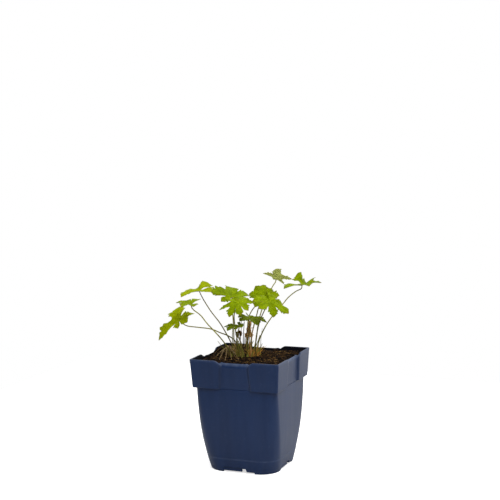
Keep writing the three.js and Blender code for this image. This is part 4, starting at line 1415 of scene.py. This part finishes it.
def tuft_core(tuft):
    """A short thick stem under the strands, so that the tuft is one body."""
    x, y = tuft["centre"]
    ground = soil_height(x, y)
    top = tuft["height"][0] * (1 if tuft["drooping"] else CORE_HEIGHT_SHARE)
    route = [(x, y, z) for z in (ground - CORE_ROOT, ground, ground + top / 2, ground + top)]
    foot, tip = (tuft["core"] * share for share in CORE_TAPER)
    return (curve_through(route, CORE_STEP), foot, tip, 1.0)


def make_crown(materials, stem_tree):
    for tuft, (slot, material) in zip(TUFTS, materials):
        stems = [tuft_core(tuft), *tuft_stems(tuft)]
        mesh = stems_mesh(tuft["name"], stems, stem_tree, STRAND_SIDES, material)
        piece(tuft["name"].replace("crown", "tuft"), mesh, slot, tuft["name"])


def make_old_stalks(materials, stem_tree):
    for (finish, rows), (slot, material) in zip(OLD_STALKS.items(), materials):
        stems = [
            (curve_through(route, PETIOLE_STEP), radius, radius * STALK_TAPER, tint)
            for route, radius, tint in rows]
        mesh = stems_mesh("old_stalks_" + finish, stems, stem_tree, PETIOLE_SIDES, material)
        piece(mesh.name, mesh, slot)


# Leaf blades
Lobe = namedtuple("Lobe", "angle length lift width twist")


def lobes_of(leaf):
    """Each lobe's angle from the middle one, its length, and its lift out of the blade's plane."""
    to_blade = leaf_frame(leaf).inverted()
    count = len(leaf["tips"])
    shapes = [leaf.get(key, (usual,) * count) for key, usual in LOBE_SHAPE]
    lobes = []
    for tip, *shape in zip(leaf["tips"], *shapes):
        rib = to_blade @ Vector(tip)
        lobes.append(Lobe(math.atan2(rib.y, rib.x), rib.length, math.asin(rib.z / rib.length), *shape))
    return lobes


def lift_at(lobes, angle):
    """The lift goes smoothly from one lobe's to the next."""
    if angle <= lobes[0].angle:
        return lobes[0].lift
    for one, other in zip(lobes, lobes[1:]):
        if angle <= other.angle:
            return mix(one.lift, other.lift, smooth((angle - one.angle) / (other.angle - one.angle)))
    return lobes[-1].lift


def gap_beside(lobes, k, side):
    """Half the angle to the neighbouring lobe, and that lobe."""
    if 0 <= k + side < len(lobes):
        return abs(lobes[k + side].angle - lobes[k].angle) / 2, lobes[k + side]
    return OPEN_SIDE_ANGLE, None


def at_angle(angle, distance):
    return Vector((distance * math.cos(angle), distance * math.sin(angle)))


def on_lobe(lobes, k, side, along, out):
    """A flat place on a lobe, from its parts along the rib and out from it."""
    lobe = lobes[k]
    gap, _ = gap_beside(lobes, k, side)
    if out > 0:
        out = soft_least(out * lobe.width, along * math.tan(gap - LOBE_GAP_MARGIN))
    return at_angle(lobe.angle + side * math.atan2(out, along), math.hypot(along, out) * lobe.length)


def half_edge(lobes, k, side, cut):
    """The edge of one side of a lobe, from where its cut ends to near its tip."""
    return [on_lobe(lobes, k, side, along, out) for along, out in LOBE_EDGE if along > cut + CUT_MARGIN]


def blade_outline(lobes, depth):
    """The blade's flat outline; depth is where the cuts end, as a part of a lobe's length."""
    points = [Vector((0, 0))]
    before = OPEN_CUT_DEPTH
    for k, lobe in enumerate(lobes):
        gap, following = gap_beside(lobes, k, 1)
        after = OPEN_CUT_DEPTH if following is None else depth * min(1, following.length / lobe.length)
        points.append(at_angle(lobe.angle - gap_beside(lobes, k, -1)[0], before * lobe.length))
        points.extend(half_edge(lobes, k, -1, before))
        points.append(on_lobe(lobes, k, 1, 1.0, 0.0))
        points.extend(reversed(half_edge(lobes, k, 1, after)))
        if following is None:
            points.append(at_angle(lobe.angle + gap, after * lobe.length))
        else:
            before = depth * min(1, lobe.length / following.length)
    return points


def rounded_off(points):
    """Cuts each corner of a closed outline twice, which leaves blunt teeth."""
    for _ in range(ROUNDING_PASSES):
        cut = []
        for i, point in enumerate(points):
            following = points[(i + 1) % len(points)]
            cut.append(point.lerp(following, ROUNDING_SHARE))
            cut.append(point.lerp(following, 1 - ROUNDING_SHARE))
        points = cut
    return points


def vein_lines(lobes):
    """Straight pieces of the veins: start, end, and the strength at each."""
    lines = []
    for k in range(len(lobes)):
        lines.append((Vector((0, 0)), on_lobe(lobes, k, 1, RIB_END, 0.0), *RIB_STRENGTH))
        for side in (-1, 1):
            for start, along, out in SIDE_VEINS:
                lines.append((
                    on_lobe(lobes, k, side, start, 0.0), on_lobe(lobes, k, side, along, out),
                    *SIDE_VEIN_STRENGTH))
    return lines


def spans_from(points, starts, ends):
    """How far each point is from each straight piece, and how far along it the nearest place is."""
    span = ends - starts
    offset = points[:, None] - starts
    share = np.clip((offset * span).sum(axis=2) / np.maximum((span ** 2).sum(axis=1), LEAST_SPAN), 0, 1)
    return np.linalg.norm(offset - span * share[..., None], axis=2), share


def edge_distances(points, edge):
    return spans_from(points, edge, np.roll(edge, -1, axis=0))[0].min(axis=1)


def are_inside(points, edge):
    following = np.roll(edge, -1, axis=0)
    x, y = points[:, :1], points[:, 1:]
    crosses = (edge[:, 1] > y) != (following[:, 1] > y)
    fall = np.where(crosses, following[:, 1] - edge[:, 1], 1.0)
    crossing = (following[:, 0] - edge[:, 0]) * (y - edge[:, 1]) / fall + edge[:, 0]
    return (crosses & (x < crossing)).sum(axis=1) % 2 == 1


def vein_shares(points, lines):
    """How much of a vein each point carries, 1 on the middle of a main rib."""
    starts, ends, first, last = (np.array(column) for column in zip(*lines))
    distance, share = spans_from(points, starts, ends)
    strength = mix(first, last, share)
    half_width = VEIN_HALF_WIDTH * mix(VEIN_LEAST_SHARE, 1.0, strength)
    return np.maximum(0, (strength * (1 - distance / half_width)).max(axis=1))


def vein_places(lines):
    """Places along each vein and beside it."""
    places = []
    for start, end, _, _ in lines:
        span = end - start
        steps = max(2, round(span.length / VEIN_STEP))
        beside = Vector((-span.y, span.x)).normalized() * VEIN_HALF_WIDTH
        for s in range(steps + 1):
            at = start.lerp(end, s / steps)
            places.extend((at, at + beside, at - beside))
    return np.array(places)


def field_places(edge, draw):
    """Staggered rows of places, each moved a little by chance."""
    low, high = edge.min(axis=0), edge.max(axis=0)
    places = []
    row_step = BLADE_GRID * ROW_SHARE
    for row in range(math.ceil((high[1] - low[1]) / row_step)):
        start = low[0] + (row % 2) * BLADE_GRID / 2
        for column in range(math.ceil((high[0] - start) / BLADE_GRID)):
            places.append((
                start + column * BLADE_GRID + draw.uniform(-GRID_SHAKE, GRID_SHAKE),
                low[1] + row * row_step + draw.uniform(-GRID_SHAKE, GRID_SHAKE)))
    return np.array(places)


def blade_places(edge, lines, draw):
    """Places inside the outline: along the veins, beside them, and over the rest."""
    field = field_places(edge, draw)
    field = field[vein_shares(field, lines) <= 0]
    places = np.concatenate([vein_places(lines), field])
    places = places[are_inside(places, edge) & (edge_distances(places, edge) > PLACE_SPACING)]
    _, kept = np.unique(np.round(places / PLACE_SPACING), axis=0, return_index=True)
    return places[np.sort(kept)]


def nearest_lobe(lobes, angle):
    return min(range(len(lobes)), key=lambda k: abs(lobes[k].angle - angle))


def rise_on(lobe, distance, angle):
    """How high a place stands over the straight lobe, from its arch and its twist."""
    along = distance * math.cos(angle - lobe.angle) / lobe.length
    if along <= 0:
        return 0.0
    out = distance * math.sin(angle - lobe.angle)
    arch = lobe.length * LOBE_ARCH * 4 * along * (1 - along)
    return arch + lobe.twist * out * smooth((along - TWIST_START) / TWIST_REACH)


def bent(lobes, flat):
    """Bends a flat place on the blade to where it is in the leaf's own frame."""
    distance = flat.length
    angle = math.atan2(flat.y, flat.x)
    k = nearest_lobe(lobes, angle)
    turn = angle - lobes[k].angle
    gap, neighbour = gap_beside(lobes, k, 1 if turn > 0 else -1)
    rise = rise_on(lobes[k], distance, angle)
    if neighbour is not None:
        share = smooth((abs(turn) / gap - 1 + LOBE_BLEND) / LOBE_BLEND) / 2
        rise = mix(rise, rise_on(neighbour, distance, angle), share)
    rise += LOBE_FOLD * abs(distance * math.sin(turn)) if math.cos(turn) > 0 else 0.0
    lift = lift_at(lobes, angle)
    level = at_angle(angle, distance * math.cos(lift))
    return Vector((level.x, level.y, distance * math.sin(lift) + rise))


def blade_sheet(corners, triangles, lobes, veins, seed):
    """The bent middle sheet of a blade, quilted between its veins."""
    sheet = bmesh.new()
    for corner, vein in zip(corners, veins):
        place = bent(lobes, corner)
        place.z += QUILT_HEIGHT * (1 - vein) * (0.5 + lumps((*corner, 0), QUILT_SIZE, seed))
        place.z += WAVE_HEIGHT * lumps((*corner, 0), WAVE_SIZE, seed + WAVE_SEED_STEP)
        sheet.verts.new(place)
    sheet.verts.ensure_lookup_table()
    sheet.verts.index_update()
    for triangle in triangles:
        sheet.faces.new([sheet.verts[i] for i in triangle])
    sheet.normal_update()
    return sheet


def blade_skin(sheet, veins, nearness, thickness):
    """The points and faces of both sides of a blade and of its edge."""
    points, faces = [], []
    for side in (1, -1):
        for vertex, vein, near in zip(sheet.verts, veins, nearness):
            half = thickness / 2 * mix(1.0, EDGE_THINNING, near)
            relief = -VEIN_GROOVE * vein if side > 0 else VEIN_RIDGE * vein
            points.append(vertex.co + vertex.normal * side * (half + relief))
    total = len(sheet.verts)
    for face in sheet.faces:
        ids = [v.index for v in face.verts]
        faces.append(tuple(ids))
        faces.append(tuple(total + i for i in reversed(ids)))
    for loop in (e.link_loops[0] for e in sheet.edges if len(e.link_faces) == 1):
        a, b = loop.vert.index, loop.link_loop_next.vert.index
        faces.append((b, a, a + total, b + total))
    return points, faces


def tip_shares(corners, lobes):
    """How near each place is to the tip of its lobe."""
    shares = []
    for corner in corners:
        lobe = lobes[nearest_lobe(lobes, math.atan2(corner.y, corner.x))]
        shares.append(smooth((corner.length / lobe.length - TIP_START) / (1 - TIP_START)))
    return shares


def blade_mesh(name, leaf, thickness, seed):
    """A thin closed blade with its veins raised below and sunk above."""
    draw = random.Random(seed)
    lobes = lobes_of(leaf)
    edge = np.array(rounded_off(blade_outline(lobes, leaf.get("cut", CUT_DEPTH))))
    lines = vein_lines(lobes)
    flat = np.concatenate([edge, blade_places(edge, lines, draw)])
    corners, _, triangles, _, _, _ = delaunay_2d_cdt(
        [Vector(p) for p in flat], [], [list(range(len(edge)))], 1, JOIN_REACH)
    corners = [Vector(p) for p in corners]
    veins = vein_shares(np.array(corners), lines)
    nearness = [1 - smooth(d / EDGE_BAND) for d in edge_distances(np.array(corners), edge)]
    sheet = blade_sheet(corners, triangles, lobes, veins, seed)
    points, faces = blade_skin(sheet, veins, nearness, thickness)
    sheet.free()
    turn = leaf_frame(leaf)
    mesh = mesh_from(name, [turn @ p for p in points], faces)
    total = len(corners)
    store(mesh, "vein", [*veins, *veins])
    store(mesh, "edge", nearness * 2)
    store(mesh, "tip", tip_shares(corners, lobes) * 2)
    store(mesh, "under", [0.0] * total + [1.0] * total)
    store(mesh, "tint", [draw.uniform(0, BLADE_TINT)] * (2 * total))
    return smoothed(mesh, BLADE_SHARP_ANGLE)


def make_blades(materials, hairs):
    for number, leaf in enumerate(LEAVES):
        material = materials[leaf["finish"]]
        name = "blade_" + leaf["name"]
        mesh = blade_mesh(name, leaf, BLADE_THICKNESS, BLADE_SEED + number)
        mesh = haired(mesh, hairs, BLADE_HAIRS_PER_M2, number, material)
        piece("leaf_" + leaf["name"], mesh, "blade", name)


def crumpled(mesh, seed):
    for vertex in mesh.vertices:
        place = vertex.co / MM
        shift = Vector([lumps(place, CRUMPLE_SIZE, seed + axis * CRUMPLE_SEED_STEP) for axis in range(3)])
        vertex.co += shift * CRUMPLE_HEIGHT * MM
    return mesh


def make_dead_leaves(materials, stem_tree):
    tip_radius = PETIOLE_TOP_RADIUS * DEAD_STALK_TAPER
    for number, (leaf, material) in enumerate(zip(DEAD_LEAVES, materials)):
        name = leaf["name"]
        slot = name.replace("_leaf", "")
        blade = crumpled(blade_mesh(name, leaf, DEAD_THICKNESS, DEAD_SEED + number), number)
        blade.materials.append(material)
        stem = (petiole_route(leaf), PETIOLE_TOP_RADIUS, tip_radius, DEAD_STALK_TINT)
        stalk = stems_mesh(name + "_stalk", [stem], stem_tree, PETIOLE_SIDES, material)
        piece(name.replace("dead_leaf", "withered_stalk"), stalk, slot)
        piece(name.replace("dead_leaf", "withered_leaf"), blade, slot, name)


def dress():
    bpy.context.scene.view_settings.view_transform = "Standard"
    set_camera()
    set_floor()
    set_surroundings()
    for name, (place, size, power) in LIGHTS.items():
        soft_light(name, place, size, power)
    stem_tree = tube_tree()
    hairs = hair_tree()
    petiole = stem_material("petiole_skin", PETIOLE_OLIVE, PETIOLE_BROWN)
    make_pot(pot_material(), pot_inside_painted_shade_material())
    make_soil(
        soil_material("peat_ground", SOIL_BROWN, SOIL_BLACK, False),
        soil_material("peat_crumb", CRUMB_BROWN, SOIL_BLACK, True),
        stem_material("root_fibre", FIBRE_TAN, FIBRE_DARK, FIBRE_LOOK))
    make_crown((
        ("straw", stem_material("old_straw", *STRAW)),
        ("olive_sheath", stem_material("old_olive", *OLIVE)),
        ("rust_sheath", stem_material("old_rust", *RUST)),
    ), stem_tree)
    make_petioles(petiole, stem_tree, hairs)
    make_old_stalks((
        ("petiole", petiole),
        ("straw", stem_material("old_brown", *BROWN)),
        ("rust_sheath", stem_material("old_rust_stalk", *DEAD_TAN)),
    ), stem_tree)
    make_blades({finish: leaf_material(finish) for finish in LEAF_FINISHES}, hairs)
    make_dead_leaves((
        stem_material("withered_tan", *DEAD_TAN, DRY_LOOK),
        stem_material("withered_dark", *DEAD_DARK, DRY_LOOK),
    ), stem_tree)


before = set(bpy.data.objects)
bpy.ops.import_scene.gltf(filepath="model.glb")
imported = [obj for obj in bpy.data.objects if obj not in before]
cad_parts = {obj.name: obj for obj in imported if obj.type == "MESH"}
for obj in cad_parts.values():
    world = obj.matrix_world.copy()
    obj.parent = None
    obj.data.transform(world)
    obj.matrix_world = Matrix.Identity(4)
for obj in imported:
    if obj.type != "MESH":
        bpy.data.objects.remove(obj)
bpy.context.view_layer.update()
dress()
